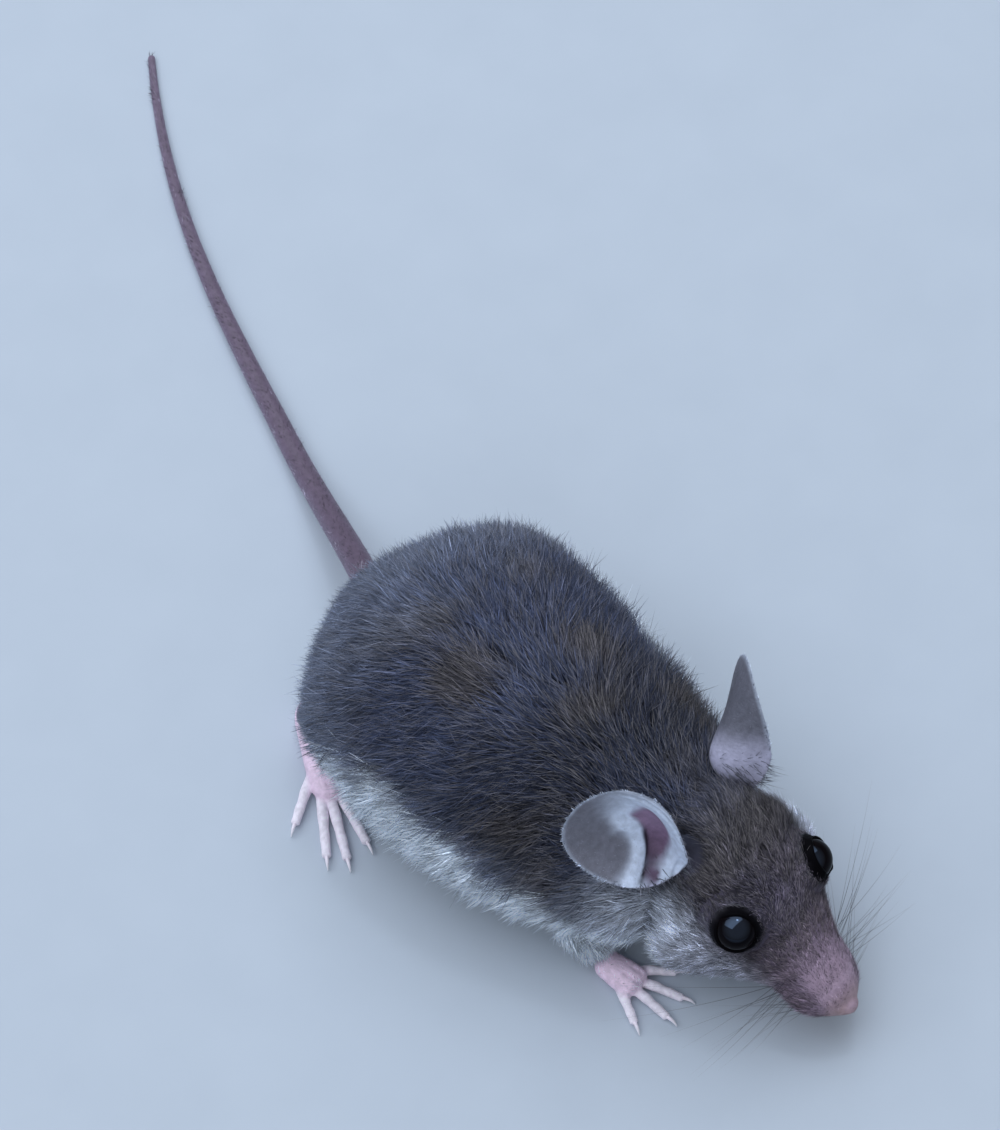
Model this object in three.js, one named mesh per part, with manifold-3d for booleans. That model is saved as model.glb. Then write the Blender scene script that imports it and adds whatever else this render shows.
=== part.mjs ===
// A young house mouse at life size, standing on all fours with its head low and its tail laid out behind.
// The solids give its outer form, out to the tips of the coat, parted by thin cuts into the pieces of a body.
// Millimetres. The mouse faces -Y, its left is +X and Z is up. Until the last step y runs back from near the
// tip of the muzzle; the last step moves the origin to the middle of the footprint, on the ground.
import * as THREE from "three";
import { mergeVertices } from "three/addons/utils/BufferGeometryUtils.js";
import Module from "manifold-3d";

const wasm = await Module();
wasm.setup();

const { clamp, degToRad, lerp, smoothstep } = THREE.MathUtils;
const UP = new THREE.Vector3(0, 0, 1);
const LEFT = { word: "left", sign: 1 };
const RIGHT = { word: "right", sign: -1 };

// Driving dimensions.
const CUT = 0.16; // the gap between neighbouring pieces
const SOLE = 0.1; // how deep a sole is pressed flat by the ground
const BIG = 300; // a block larger than the mouse

// The coat's outline along the trunk: distance back from the muzzle, sideways drift of its middle line, full
// width, and the heights of back and belly.
const TRUNK = {
  throat: { y: 13, drift: -0.8, width: 15, back: 16.5, belly: 4.6 },
  shoulders: { y: 21, drift: -3.0, width: 24.4, back: 20.0, belly: 2.8 },
  chest: { y: 29, drift: -4.6, width: 29.4, back: 22.6, belly: 2.0 },
  loins: { y: 38, drift: -5.4, width: 32.4, back: 25.0, belly: 1.7 },
  haunches: { y: 47, drift: -5.5, width: 33.2, back: 25.2, belly: 1.8 },
  rump: { y: 56, drift: -5.0, width: 29, back: 21.8, belly: 2.6 },
  tailHead: { y: 63, drift: -4.6, width: 20, back: 15.4, belly: 4.2 },
};
const TRUNK_FRONT = 12;
const TRUNK_REAR = 64.2;
const FRONT_CAP = 6; // length of a rounded end
const REAR_CAP = 13;
const WIDEST = 0.4; // share of the trunk's height at which it is widest

// The cuts across the trunk: where each meets the middle, and how far its lower part leans back.
const TRUNK_CUTS = {
  poll: { y: 19.5, z: 12, lean: degToRad(-28) },
  withers: { y: 26.5, z: 12, lean: degToRad(-14) },
  waist: { y: 38.5, z: 12, lean: 0 },
  croup: { y: 51.5, z: 12, lean: degToRad(14) },
};

// The head in its own frame: y back from the muzzle's tip along the head, z from the line of the mouth.
const HEAD_POSE = { x: 0.4, y: -1.0, z: 4.5, pitch: degToRad(22), roll: degToRad(3), yaw: degToRad(3) };
const HEAD = {
  tip: { y: 0.4, width: 3.8, top: 1.5, chin: 1.2 },
  snout: { y: 2.6, width: 6.1, top: 2.7, chin: 2.6 },
  muzzle: { y: 6.5, width: 8.2, top: 4.1, chin: 3.8 },
  eyes: { y: 12, width: 13.2, top: 6.2, chin: 6.8 },
  cheeks: { y: 16.5, width: 16.2, top: 7.6, chin: 8.2 },
  crown: { y: 21.5, width: 16.8, top: 7.8, chin: 7.6 },
  nape: { y: 27, width: 15, top: 6.6, chin: 6.6 },
};
const HEAD_REAR = 28.5;
const MUZZLE_CAP = 2.8;
const NAPE_CAP = 7;
const PAD = { bulge: 0.5, y: 3.6, spread: 2.2 }; // the whisker pads
const JOWL = { bulge: 3.2, y: 15.0, spread: 4.8 }; // the full cheeks under and behind the eyes
const ORBIT = { depth: 0.35, ahead: 1.5, spread: 3.0 }; // the hollows in front of the eyes
const NOSE = { y: 0.35, z: 0.75, width: 2.3, length: 2.0, height: 1.84 };
const JAW = { y: 8.0, z: -3.5, width: 5.6, length: 10.2, height: 4.2 };
const EYE = { size: 4.1, side: 5.2, y: 13.55, z: 4.3 };

// The ear in its own frame: z along its length, x across it, opening towards -y.
const EAR = { length: 13.2, width: 11.8, thickness: 0.62, funnel: 3.3, sink: 2.2 };
const EAR_ROOT = { side: 5.7, z: 4.2 }; // in the head's frame
const EAR_REACH = { side: 0.5, y: 0.6, z: 0.66 }; // the way an ear points
const EAR_SETTING = {
  right: { y: 23.3, cup: 1.9, tipLean: 0.8, narrows: 0, opensTo: { side: 0.65, y: -0.6, z: 0.45 } },
  // The left ear is swivelled back, its scoop flatter and drawn in to a narrow tip.
  left: { y: 24.4, cup: 1.0, tipLean: -0.2, narrows: 0.34, opensTo: { side: 0.8, y: -0.6, z: -0.2 } },
};

// Where each paw stands: its wrist or ankle, and how far its toes turn out.
const STANCE = {
  fore: {
    right: { x: -12.4, y: 19.75, turn: degToRad(-10) },
    left: { x: 6.4, y: 22.4, turn: degToRad(-4) },
  },
  hind: {
    right: { x: -16.0, y: 59.6, turn: degToRad(25) },
    left: { x: 6.2, y: 58.4, turn: degToRad(22) },
  },
};
const ARM_RADII = [3.9, 3.0, 1.75]; // shoulder, elbow, wrist
const SHANK_RADII = [3.6, 2.9, 2.0]; // knee, shin, ankle
const THIGH = { width: 10.5, length: 19, height: 14.5, inward: 1.0, ahead: 11.5, z: 9.0 };
const THIGH_PITCH = degToRad(12);
const THIGH_TURN = degToRad(8);

// A paw in its own frame: forward is -y, outwards is +x on the left, the sole at z = 0.
const FOREPAW = {
  length: 4.6,
  width: 3.6,
  height: 2.3,
  wrist: 0.8, // width there, as a share
  toeThickness: 1.1,
  toes: [
    { out: -1.5, ahead: 3.3, fan: degToRad(-38), length: 3.6 },
    { out: -0.7, ahead: 4.3, fan: degToRad(-16), length: 4.2 },
    { out: 0.4, ahead: 4.3, fan: degToRad(4), length: 4.1 },
    { out: 1.3, ahead: 3.1, fan: degToRad(30), length: 3.7 },
  ],
};
const HIND_FOOT = {
  length: 10.6,
  width: 3.5,
  height: 2.6,
  wrist: 0.72,
  toeThickness: 1.2,
  toes: [
    { out: -1.4, ahead: 8.2, fan: degToRad(-28), length: 3.4 },
    { out: -0.9, ahead: 10.0, fan: degToRad(-11), length: 5.9 },
    { out: 0.1, ahead: 10.5, fan: degToRad(2), length: 6.5 },
    { out: 1.0, ahead: 10.0, fan: degToRad(11), length: 6.3 },
    { out: 1.5, ahead: 7.6, fan: degToRad(33), length: 5.0 },
  ],
};
const HEEL = 0.6; // how far a paw reaches behind its wrist or ankle
const KNUCKLE = 0.35; // how high a toe arches
const CLAW = { length: 1.15, radii: [0.28, 0.25, 0.16], tipHeight: 0.24 };

// The tail leaves the rump, comes down to the ground and swings round to the left.
const TAIL = {
  root: { x: -5.0, y: 60.5, z: 8.6 },
  length: 76,
  rootRadius: 1.6,
  tipRadius: 0.42,
  descent: 24, // level distance over which it comes down
  headings: [degToRad(20), degToRad(18), degToRad(36)], // at root, middle and tip, towards the left
  steps: 40,
};
const TAIL_CUTS = [84, 108];

// Finishes: colour and roughness.
const DARK_COAT = [0x4b4c52, 0.95];
const BROWN_COAT = [0x454144, 0.95];
const GREY_COAT = [0x565a66, 0.95];
const PALE_COAT = [0x8a94a4, 0.95];
const EAR_SKIN = [0x7a7681, 0.7];
const PINK_SKIN = [0xb3a0b0, 0.55];
const NOSE_SKIN = [0x96808c, 0.45];
const TAIL_SKIN = [0x7a7280, 0.65];
const WET_EYE = [0x0a0b10, 0.05];

const vector = (x, y, z) => new THREE.Vector3(x, y, z);

// Turns a closed three.js geometry into a solid, moved by a frame and with its faces outwards.
function solidOf(geometry, frame) {
  const bare = new THREE.BufferGeometry();
  bare.setAttribute("position", geometry.getAttribute("position").clone());
  bare.setIndex(geometry.index);
  if (frame) {
    frame.updateMatrixWorld(true);
    bare.applyMatrix4(frame.matrixWorld);
  }
  const merged = mergeVertices(bare, 1e-4);
  const triVerts = new Uint32Array(merged.index.array);
  const vertProperties = merged.attributes.position.array;
  const solid = new wasm.Manifold(new wasm.Mesh({ numProp: 3, vertProperties, triVerts }));
  if (solid.volume() > 0) return solid;
  triVerts.reverse();
  return new wasm.Manifold(new wasm.Mesh({ numProp: 3, vertProperties, triVerts }));
}

// Turns a solid back into a three.js geometry.
function geometryOf(solid) {
  const mesh = solid.getMesh();
  const geometry = new THREE.BufferGeometry();
  geometry.setAttribute("position", new THREE.BufferAttribute(mesh.vertProperties.slice(), 3));
  geometry.setIndex(new THREE.BufferAttribute(mesh.triVerts.slice(), 1));
  geometry.computeVertexNormals();
  return geometry;
}

// A sphere with its vertices moved: pointAt(along, angle) places each one, along running from 0 to 1 between
// the poles and angle once around.
function loft(sides, rings, pointAt) {
  const geometry = new THREE.SphereGeometry(1, sides, rings);
  const { position, uv } = geometry.attributes;
  for (let i = 0; i < position.count; i++) {
    const [x, y, z] = pointAt(1 - uv.getY(i), uv.getX(i) * 2 * Math.PI);
    position.setXYZ(i, x, y, z);
  }
  return geometry;
}

// Smooth values between stations: a function of y that gives every other key of a station.
function smoothly(stations) {
  const list = Object.values(stations);
  const keys = Object.keys(list[0]).filter((key) => key !== "y");
  const values = list.flatMap((station) => keys.map((key) => station[key]));
  const spline = new THREE.CubicInterpolant(list.map((station) => station.y), values, keys.length);
  return (y) => {
    const found = spline.evaluate(y);
    return Object.fromEntries(keys.map((key, i) => [key, found[i]]));
  };
}

// A quarter ellipse: 0 at the end of a form, 1 once the reach has been passed.
function roundEnd(distance, reach) {
  return Math.sqrt(1 - (1 - clamp(distance / reach, 0, 1)) ** 2);
}

// A spacing that crowds the rings towards both ends.
function crowded(t) {
  return lerp(t, (1 - Math.cos(Math.PI * t)) / 2, 0.75);
}

// A hill of height 1 in the middle that falls off over its spread.
function hill(distance, spread) {
  return Math.exp(-((distance / spread) ** 2));
}

function trunkGeometry() {
  const at = smoothly(TRUNK);
  return loft(24, 18, (t, angle) => {
    const y = lerp(TRUNK_FRONT, TRUNK_REAR, crowded(t));
    const { drift, width, back, belly } = at(y);
    const end = roundEnd(y - TRUNK_FRONT, FRONT_CAP) * roundEnd(TRUNK_REAR - y, REAR_CAP);
    const middle = lerp(belly, back, WIDEST);
    const height = Math.sin(angle) > 0 ? back - middle : middle - belly;
    return [drift + (width / 2) * end * Math.cos(angle), y, middle + height * end * Math.sin(angle)];
  });
}

const headFrame = new THREE.Object3D();
headFrame.position.set(HEAD_POSE.x, HEAD_POSE.y, HEAD_POSE.z);
headFrame.rotation.set(HEAD_POSE.pitch, HEAD_POSE.roll, HEAD_POSE.yaw, "ZXY");
headFrame.updateMatrixWorld(true);

// The head: a tapering muzzle with full whisker pads, a hollow before each eye, and round cheeks.
function headGeometry() {
  const at = smoothly(HEAD);
  return loft(22, 17, (t, angle) => {
    const y = lerp(0, HEAD_REAR, crowded(t));
    const { width, top, chin } = at(y);
    const end = roundEnd(y, MUZZLE_CAP) * roundEnd(HEAD_REAR - y, NAPE_CAP);
    const up = Math.sin(angle);
    const out = Math.abs(Math.cos(angle));
    const pad = PAD.bulge * hill(y - PAD.y, PAD.spread) * hill(up + 0.25, 0.5);
    const jowl = JOWL.bulge * hill(y - JOWL.y, JOWL.spread) * hill(up + 0.4, 0.5);
    const hollow = ORBIT.depth * hill(y - EYE.y + ORBIT.ahead, ORBIT.spread) * hill(up - 0.5, 0.3);
    const x = (width / 2 + (pad + jowl - hollow) * out) * end * Math.cos(angle);
    return [x, y, ((up > 0 ? top : chin) + jowl * out) * end * up];
  });
}

// An ellipsoid in a frame, or one grown by a margin to make its socket.
function bead({ x = 0, y, z, width, length, height }, sides, margin, frame) {
  const geometry = new THREE.SphereGeometry(1, sides, Math.round(sides * 0.7));
  geometry.scale(width / 2 + margin, length / 2 + margin, height / 2 + margin);
  return solidOf(geometry.translate(x, y, z), frame);
}

const nose = (margin) => bead(NOSE, 8, margin, headFrame);
const jaw = (margin) => bead(JAW, 10, margin, headFrame);

function eye(side, margin) {
  const { size, y, z } = EYE;
  const ball = { x: side.sign * EYE.side, y, z, width: size, length: size, height: size };
  return bead(ball, 12, margin, headFrame);
}

// A frame for an ear: z the way it points, -y the way it opens.
function earFrame({ word, sign }) {
  const { y, opensTo } = EAR_SETTING[word];
  const reach = vector(sign * EAR_REACH.side, EAR_REACH.y, EAR_REACH.z).normalize();
  const back = vector(-sign * opensTo.side, -opensTo.y, -opensTo.z);
  const across = vector().crossVectors(back, reach).normalize();
  back.crossVectors(reach, across);
  const root = vector(sign * EAR_ROOT.side, y, EAR_ROOT.z).applyMatrix4(headFrame.matrixWorld);
  const frame = new THREE.Object3D();
  frame.matrixAutoUpdate = false;
  frame.matrix.makeBasis(across, back, reach).setPosition(root.addScaledVector(reach, -EAR.sink));
  return frame;
}

// A thin scoop: an egg-shaped outline, cupped towards -y, its lower edges wrapped forward into a funnel.
function ear(side, margin) {
  const { cup, tipLean, narrows } = EAR_SETTING[side.word];
  const geometry = loft(16, 9, (along, angle) => {
    const rim = Math.sin(Math.PI * along);
    const across = rim * Math.cos(angle);
    const height = (rim * Math.sin(angle) + 1) / 2;
    const low = 1 - height;
    const outline = lerp(0.66, 1.06, height) * (1 - 0.25 * low ** 2) * (1 - narrows * height ** 2);
    const halfWidth = (EAR.width / 2) * outline + margin;
    const wrap = EAR.funnel * low ** 1.5 * across ** 2;
    const depth = cup * (rim ** 2 - 0.5) + wrap - tipLean * height ** 2;
    const shell = Math.cos(Math.PI * along);
    const halfThickness = (EAR.thickness / 2 + margin) * Math.sign(shell) * Math.abs(shell) ** 0.4;
    return [across * halfWidth, halfThickness - depth, EAR.length * height];
  });
  return solidOf(geometry, earFrame(side));
}

// A tapered limb along a smooth path of points, with a radius for each point, or one grown by a margin.
function limb(points, radii, sides, rings, margin = 0) {
  const path = new THREE.CatmullRomCurve3(points);
  const length = path.getLength();
  const thickness = smoothly(radii.map((radius, i) => ({ y: i / (radii.length - 1), radius })));
  const geometry = loft(sides, rings, (t, angle) => {
    const share = crowded(t);
    const spine = path.getTangent(share);
    const aside = vector().crossVectors(spine, UP).normalize();
    const above = vector().crossVectors(aside, spine);
    const cap = roundEnd(share * length, radii[0]) * roundEnd((1 - share) * length, radii.at(-1));
    const reach = (thickness(share).radius + margin) * cap;
    const point = path.getPoint(share).addScaledVector(spine, margin * (2 * share - 1));
    point.addScaledVector(aside, reach * Math.cos(angle));
    return point.addScaledVector(above, reach * Math.sin(angle)).toArray();
  });
  return solidOf(geometry);
}

// The arm from the shoulder down to the wrist, mostly inside the coat.
function foreLeg({ word, sign }, margin) {
  const { x, y } = STANCE.fore[word];
  const path = [
    vector(x - sign * 2.6, y + 8.6, 9.4),
    vector(x - sign * 0.4, y + 4.4, 5.0),
    vector(x, y, 2.2),
  ];
  return limb(path, ARM_RADII, 8, 7, margin);
}

// The thigh as one long bulge, and the shank back from the knee to the ankle, mostly inside the coat.
function hindLeg({ word, sign }, margin) {
  const { x, y } = STANCE.hind[word];
  const frame = new THREE.Object3D();
  frame.position.set(x - sign * THIGH.inward, y - THIGH.ahead, THIGH.z);
  frame.rotation.set(THIGH_PITCH, 0, sign * THIGH_TURN);
  const thigh = bead({ ...THIGH, y: 0, z: 0 }, 12, margin, frame);
  const path = [vector(x - sign * 0.2, y - 10.5, 5.6), vector(x, y - 4.5, 4.2), vector(x, y - 0.2, 2.6)];
  return thigh.add(limb(path, SHANK_RADII, 8, 7, margin));
}

// A toe that arches over its knuckle to a rounded tip, with a claw curving down from it.
function toe({ out, ahead, fan, length }, thickness, sign, margin) {
  const at = (share, z) => {
    const reach = length * share;
    return vector(sign * (out + Math.sin(fan) * reach), -(ahead + Math.cos(fan) * reach), z);
  };
  const half = thickness / 2;
  const path = [at(-0.3, half), at(0.3, half + KNUCKLE), at(0.66, half + KNUCKLE / 3), at(1, half)];
  const radii = [half, half * 0.96, half * 0.86, half * 0.82];
  const clawEnd = 1 + CLAW.length / length;
  const clawPath = [
    at(0.93, half + 0.12),
    at(lerp(1, clawEnd, 0.5), half + 0.1),
    at(clawEnd, CLAW.tipHeight),
  ];
  return limb(path, radii, 6, 5, margin).add(limb(clawPath, CLAW.radii, 4, 4, margin));
}

// A paw: a low rounded pad with its toes fanned out in front.
function paw(shape, { x, y, turn }, { sign }, margin) {
  const pad = loft(10, 6, (t, angle) => {
    const share = crowded(t);
    const end = roundEnd(share, 0.22) * roundEnd(1 - share, 0.16);
    const halfWidth = (shape.width / 2) * lerp(shape.wrist, 1, smoothstep(share, 0, 0.8)) + margin;
    const halfHeight = (shape.height / 2) * end;
    return [
      halfWidth * end * Math.cos(angle),
      lerp(HEEL + margin, -shape.length - margin, share),
      shape.height / 2 + (halfHeight + margin * end) * Math.sin(angle),
    ];
  });
  const toes = shape.toes.map((each) => toe(each, shape.toeThickness, sign, margin));
  const whole = toes.reduce((sum, each) => sum.add(each), solidOf(pad));
  const frame = new THREE.Object3D();
  frame.position.set(x, y, 0);
  frame.rotation.z = sign * turn;
  return solidOf(geometryOf(whole), frame);
}

function tailRadius(share) {
  return lerp(TAIL.rootRadius, TAIL.tipRadius, share ** 0.9);
}

// The tail's path: its heading swings smoothly while it comes down to lie on the ground.
function tailPath() {
  const swing = smoothly(TAIL.headings.map((heading, i) => ({ y: i / 2, heading })));
  const stride = TAIL.length / TAIL.steps;
  const points = [vector(TAIL.root.x, TAIL.root.y, TAIL.root.z)];
  for (let i = 1; i <= TAIL.steps; i++) {
    const share = i / TAIL.steps;
    const { heading } = swing(share - 0.5 / TAIL.steps);
    const lift = 1 - smoothstep(i * stride, -6, TAIL.descent);
    const next = points.at(-1).clone();
    next.x += stride * Math.sin(heading);
    next.y += stride * Math.cos(heading);
    next.z = lerp(tailRadius(share), TAIL.root.z, lift);
    points.push(next);
  }
  return points;
}

function tail(margin) {
  const path = tailPath();
  return limb(path, path.map((_, i) => tailRadius(i / TAIL.steps)), 8, 22, margin);
}

// The block of everything behind a cut, which stands across the body or leans.
function behind({ y, z = 0, lean = 0 }, setBack) {
  const frame = new THREE.Object3D();
  frame.position.set(0, y + setBack, z);
  frame.rotation.x = lean;
  return solidOf(new THREE.BoxGeometry(BIG, BIG, BIG).translate(0, BIG / 2, 0), frame);
}

// The pieces into which cuts divide a solid, from front to back, with a gap at each cut.
function parted(solid, cuts) {
  const pieces = [];
  let rest = solid;
  for (const cut of cuts) {
    pieces.push(rest.subtract(behind(cut, -CUT / 2)));
    rest = rest.intersect(behind(cut, CUT / 2));
  }
  return [...pieces, rest];
}

const mouse = new THREE.Group();
const aboveGround = solidOf(new THREE.BoxGeometry(BIG, BIG, BIG).translate(0, 0, BIG / 2 + SOLE));

// Adds a piece, pressed flat where it meets the ground, without the slivers that a cut may shave off it.
function add(name, solid, [color, roughness]) {
  const bodies = solid.intersect(aboveGround).decompose();
  const piece = bodies.reduce((largest, body) => (body.volume() > largest.volume() ? body : largest));
  const finish = new THREE.MeshStandardMaterial({ color, roughness, metalness: 0 });
  const mesh = new THREE.Mesh(geometryOf(piece), finish);
  mesh.name = name;
  mouse.add(mesh);
}

// The head and trunk as one form, with a pocket for everything set into it.
let flesh = solidOf(trunkGeometry()).add(solidOf(headGeometry(), headFrame));
for (const pocket of [nose(CUT), jaw(CUT), tail(CUT)]) flesh = flesh.subtract(pocket);
add("nose", nose(0), NOSE_SKIN);
add("lower_jaw", jaw(0), PALE_COAT);
for (const side of [RIGHT, LEFT]) {
  const forepaw = (margin) => paw(FOREPAW, STANCE.fore[side.word], side, margin);
  const hindFoot = (margin) => paw(HIND_FOOT, STANCE.hind[side.word], side, margin);
  for (const form of [eye, ear, foreLeg, hindLeg]) flesh = flesh.subtract(form(side, CUT));
  flesh = flesh.subtract(forepaw(CUT)).subtract(hindFoot(CUT));
  add(`eye_${side.word}`, eye(side, 0), WET_EYE);
  add(`ear_${side.word}`, ear(side, 0), EAR_SKIN);
  add(`fore_leg_${side.word}`, foreLeg(side, 0).subtract(forepaw(CUT)), PALE_COAT);
  add(`forepaw_${side.word}`, forepaw(0), PINK_SKIN);
  add(`hind_leg_${side.word}`, hindLeg(side, 0).subtract(hindFoot(CUT)), GREY_COAT);
  add(`hind_foot_${side.word}`, hindFoot(0), PINK_SKIN);
}
const [head, neck, chest, belly, rump] = parted(flesh, Object.values(TRUNK_CUTS));
add("head", head, BROWN_COAT);
add("neck", neck, BROWN_COAT);
add("chest", chest, DARK_COAT);
add("belly", belly, DARK_COAT);
add("rump", rump, GREY_COAT);
const [tailBase, tailMiddle, tailTip] = parted(tail(0), TAIL_CUTS.map((y) => ({ y })));
add("tail_base", tailBase, TAIL_SKIN);
add("tail_middle", tailMiddle, TAIL_SKIN);
add("tail_tip", tailTip, TAIL_SKIN);

const bounds = new THREE.Box3().setFromObject(mouse);
const middle = bounds.getCenter(vector());
for (const mesh of mouse.children) mesh.geometry.translate(-middle.x, -middle.y, -bounds.min.z);

export default mouse;
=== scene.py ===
"""A young house mouse at life size, standing still with its head low and its tail laid out behind.

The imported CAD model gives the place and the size. One skin replaces its flesh and, under fur, is set in from
it by about the depth of the coat. Thin tufts of solid mesh make the fur. Forms are worked out in millimetres
with y running back from the muzzle, x to the mouse's left and z up, and move to the row's frame, in metres,
when they become meshes.
"""
import math
from itertools import product

import bmesh
import bpy
import numpy as np
from mathutils import Matrix, Vector
from mathutils.bvhtree import BVHTree
from mathutils.kdtree import KDTree


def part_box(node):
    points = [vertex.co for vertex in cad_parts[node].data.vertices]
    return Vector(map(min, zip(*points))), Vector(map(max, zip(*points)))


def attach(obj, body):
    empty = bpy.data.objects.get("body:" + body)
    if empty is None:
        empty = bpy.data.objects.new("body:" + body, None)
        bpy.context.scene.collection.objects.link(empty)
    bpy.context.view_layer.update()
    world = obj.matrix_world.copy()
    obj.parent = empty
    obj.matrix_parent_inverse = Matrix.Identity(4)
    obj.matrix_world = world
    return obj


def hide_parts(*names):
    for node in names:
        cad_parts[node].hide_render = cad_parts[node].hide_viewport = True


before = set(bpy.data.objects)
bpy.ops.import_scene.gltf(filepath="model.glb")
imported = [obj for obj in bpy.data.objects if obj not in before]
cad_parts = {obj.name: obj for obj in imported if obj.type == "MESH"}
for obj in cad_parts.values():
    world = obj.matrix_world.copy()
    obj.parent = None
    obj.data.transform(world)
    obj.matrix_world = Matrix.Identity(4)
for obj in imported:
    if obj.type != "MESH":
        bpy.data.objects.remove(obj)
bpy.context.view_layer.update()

MM = 0.001
LEFT, RIGHT = 1, -1
SIDES = (RIGHT, LEFT)
MIRROR = {side: np.array([side, 1, 1]) for side in SIDES}
WAVES, WAVE_PACE = 10, 3
rng = np.random.default_rng(11)


# -------- numbers

def lerp(a, b, t):
    return a + (b - a) * t


def rise(x, low, high):
    """From 0 to 1, smoothly, while x goes from low to high."""
    t = np.clip((x - low) / (high - low), 0, 1)
    return t * t * (3 - 2 * t)


def fall(x, low, high):
    return 1 - rise(x, low, high)


def hill(distance, spread):
    return np.exp(-((distance / spread) ** 2))


def sizes(v):
    return np.linalg.norm(v, axis=1)


def unit(v):
    return v / np.maximum(np.linalg.norm(v, axis=-1, keepdims=True), 1e-9)


def along_surface(v, normals):
    """The part of each vector that lies in the surface with these normals."""
    return v - normals * np.einsum("ij,ij->i", v, normals)[:, None]


def xyz(x, y, z):
    return np.stack(np.broadcast_arrays(x, y, z), -1).astype(float)


def round_end(distance, reach):
    """How wide a rounded end is at a distance from its tip, as a share."""
    return np.sqrt(np.clip(1 - (1 - np.clip(distance / reach, 0, 1)) ** 2, 0, 1))


def crowded(t):
    """Shares from 0 to 1 that are closer together at both ends."""
    return lerp(t, (1 - np.cos(np.pi * t)) / 2, 0.75)


def between(keys, values, x):
    """Smooth values between stations: a cubic through them, with each slope taken from the two neighbours."""
    keys, values = np.asarray(keys, float), np.asarray(values, float)
    slopes = np.gradient(values, keys, axis=0)
    x = np.clip(x, keys[0], keys[-1])
    i = np.clip(np.searchsorted(keys, x) - 1, 0, len(keys) - 2)
    step = keys[i + 1] - keys[i]
    t = (x - keys[i]) / step
    if values.ndim > 1:
        t, step = t[..., None], step[..., None]
    a, b, p, q = values[i], values[i + 1], slopes[i] * step, slopes[i + 1] * step
    return a + t * (p + t * (3 * (b - a) - 2 * p - q + t * (2 * (a - b) + p + q)))


def waves(size, seed):
    """The directions and phases of the waves that make up a ripple."""
    draws = np.random.default_rng(seed)
    return draws.normal(size=(WAVES, 3)) * WAVE_PACE / size, draws.uniform(0, 2 * np.pi, WAVES)


def ripple(points, size, seed):
    """Smooth noise between about -1 and 1, with swells about size across."""
    directions, phases = waves(size, seed)
    return np.sin(points @ directions.T + phases).sum(-1) / WAVES**0.5


def ripple_slope(points, size, seed):
    """The slope of a ripple, about 1 at its steepest: what drives hair together into locks."""
    directions, phases = waves(size, seed)
    return np.cos(points @ directions.T + phases) @ directions * size / WAVE_PACE / WAVES**0.5


def colour(r, g, b):
    """A display colour from 0 to 255 as linear light."""
    c = np.array([r, g, b]) / 255
    return np.where(c <= 0.04045, c / 12.92, ((c + 0.055) / 1.055) ** 2.4)


def mix(a, b, share):
    share = np.asarray(share)[..., None]
    return a * (1 - share) + b * share


def painted(tone, *coats):
    """A tone with other tones laid over it in turn, each by its own share."""
    for over, share in coats:
        tone = mix(tone, over, share)
    return tone


# -------- the driving dimensions
# They are those of the solids, apart from the nose, the rounded end of the muzzle and the claws. The thigh's
# slight turn to the side is left out. The tendons and the finer arch of the toes are this script's own, and
# so, further on, are the ear's fuller front and the shape of its edge.

TRUNK_Y = [13, 21, 29, 38, 47, 56, 63]
TRUNK = [  # drift, width, back, belly
    [-0.8, 15, 16.5, 4.6],
    [-3.0, 24.4, 20.0, 2.8],
    [-4.6, 29.4, 22.6, 2.0],
    [-5.4, 32.4, 25.0, 1.7],
    [-5.5, 33.2, 25.2, 1.8],
    [-5.0, 29, 21.8, 2.6],
    [-4.6, 20, 15.4, 4.2],
]
TRUNK_FRONT, TRUNK_REAR, FRONT_CAP, REAR_CAP, WIDEST = 12, 64.2, 6, 13, 0.4
HEAD_Y = [0.4, 2.6, 6.5, 12, 16.5, 21.5, 27]
HEAD = [  # width, top, chin
    [3.8, 1.5, 1.2],
    [6.1, 2.7, 2.6],
    [8.2, 4.1, 3.8],
    [13.2, 6.2, 6.8],
    [16.2, 7.6, 8.2],
    [16.8, 7.8, 7.6],
    [15, 6.6, 6.6],
]
HEAD_REAR, MUZZLE_CAP, NAPE_CAP = 28.5, 2.2, 7
JOWL_BULGE, JOWL_Y, JOWL_SPREAD = 3.2, 15.0, 4.8
HEAD_AT = np.array([0.4, -1.0, 4.5])
HEAD_TURN = np.array(
    Matrix.Rotation(math.radians(3), 3, "Z")
    @ Matrix.Rotation(math.radians(22), 3, "X")
    @ Matrix.Rotation(math.radians(3), 3, "Y")
)
EYE_SIZE, EYE_AT = 4.1, np.array([5.2, 13.55, 4.3])
EYE_AXIS = unit(np.array([0.64, -0.26, 0.72]))
NOSE_AT, NOSE_HALF = np.array([0, 0.72, 0.5]), np.array([1.2, 0.86, 0.98])
JAW_AT, JAW_HALF = np.array([0, 8.0, -3.5]), np.array([2.8, 5.1, 2.1])
EAR_LENGTH, EAR_WIDTH, EAR_THICKNESS = 13.2, 11.8, 0.62
EAR_FUNNEL, EAR_SINK = 3.3, 2.2
EAR_CUP, EAR_TIP_LEAN = {RIGHT: 1.9, LEFT: 1.0}, {RIGHT: 0.8, LEFT: -0.2}
EAR_REACH = np.array([0.5, 0.6, 0.66])
EAR_ROOT = {RIGHT: np.array([5.7, 23.3, 4.2]), LEFT: np.array([5.7, 24.4, 4.2])}
EAR_NARROW = {RIGHT: 0.0, LEFT: 0.34}  # how much the ear's edges close towards its tip
EAR_OPENS = {RIGHT: np.array([0.65, -0.6, 0.45]), LEFT: np.array([0.8, -0.6, -0.2])}
WRIST = {RIGHT: (-12.4, 19.75, math.radians(-10)), LEFT: (6.4, 22.4, math.radians(-4))}
ANKLE = {RIGHT: (-16.0, 59.6, math.radians(25)), LEFT: (6.2, 58.4, math.radians(22))}
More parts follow.
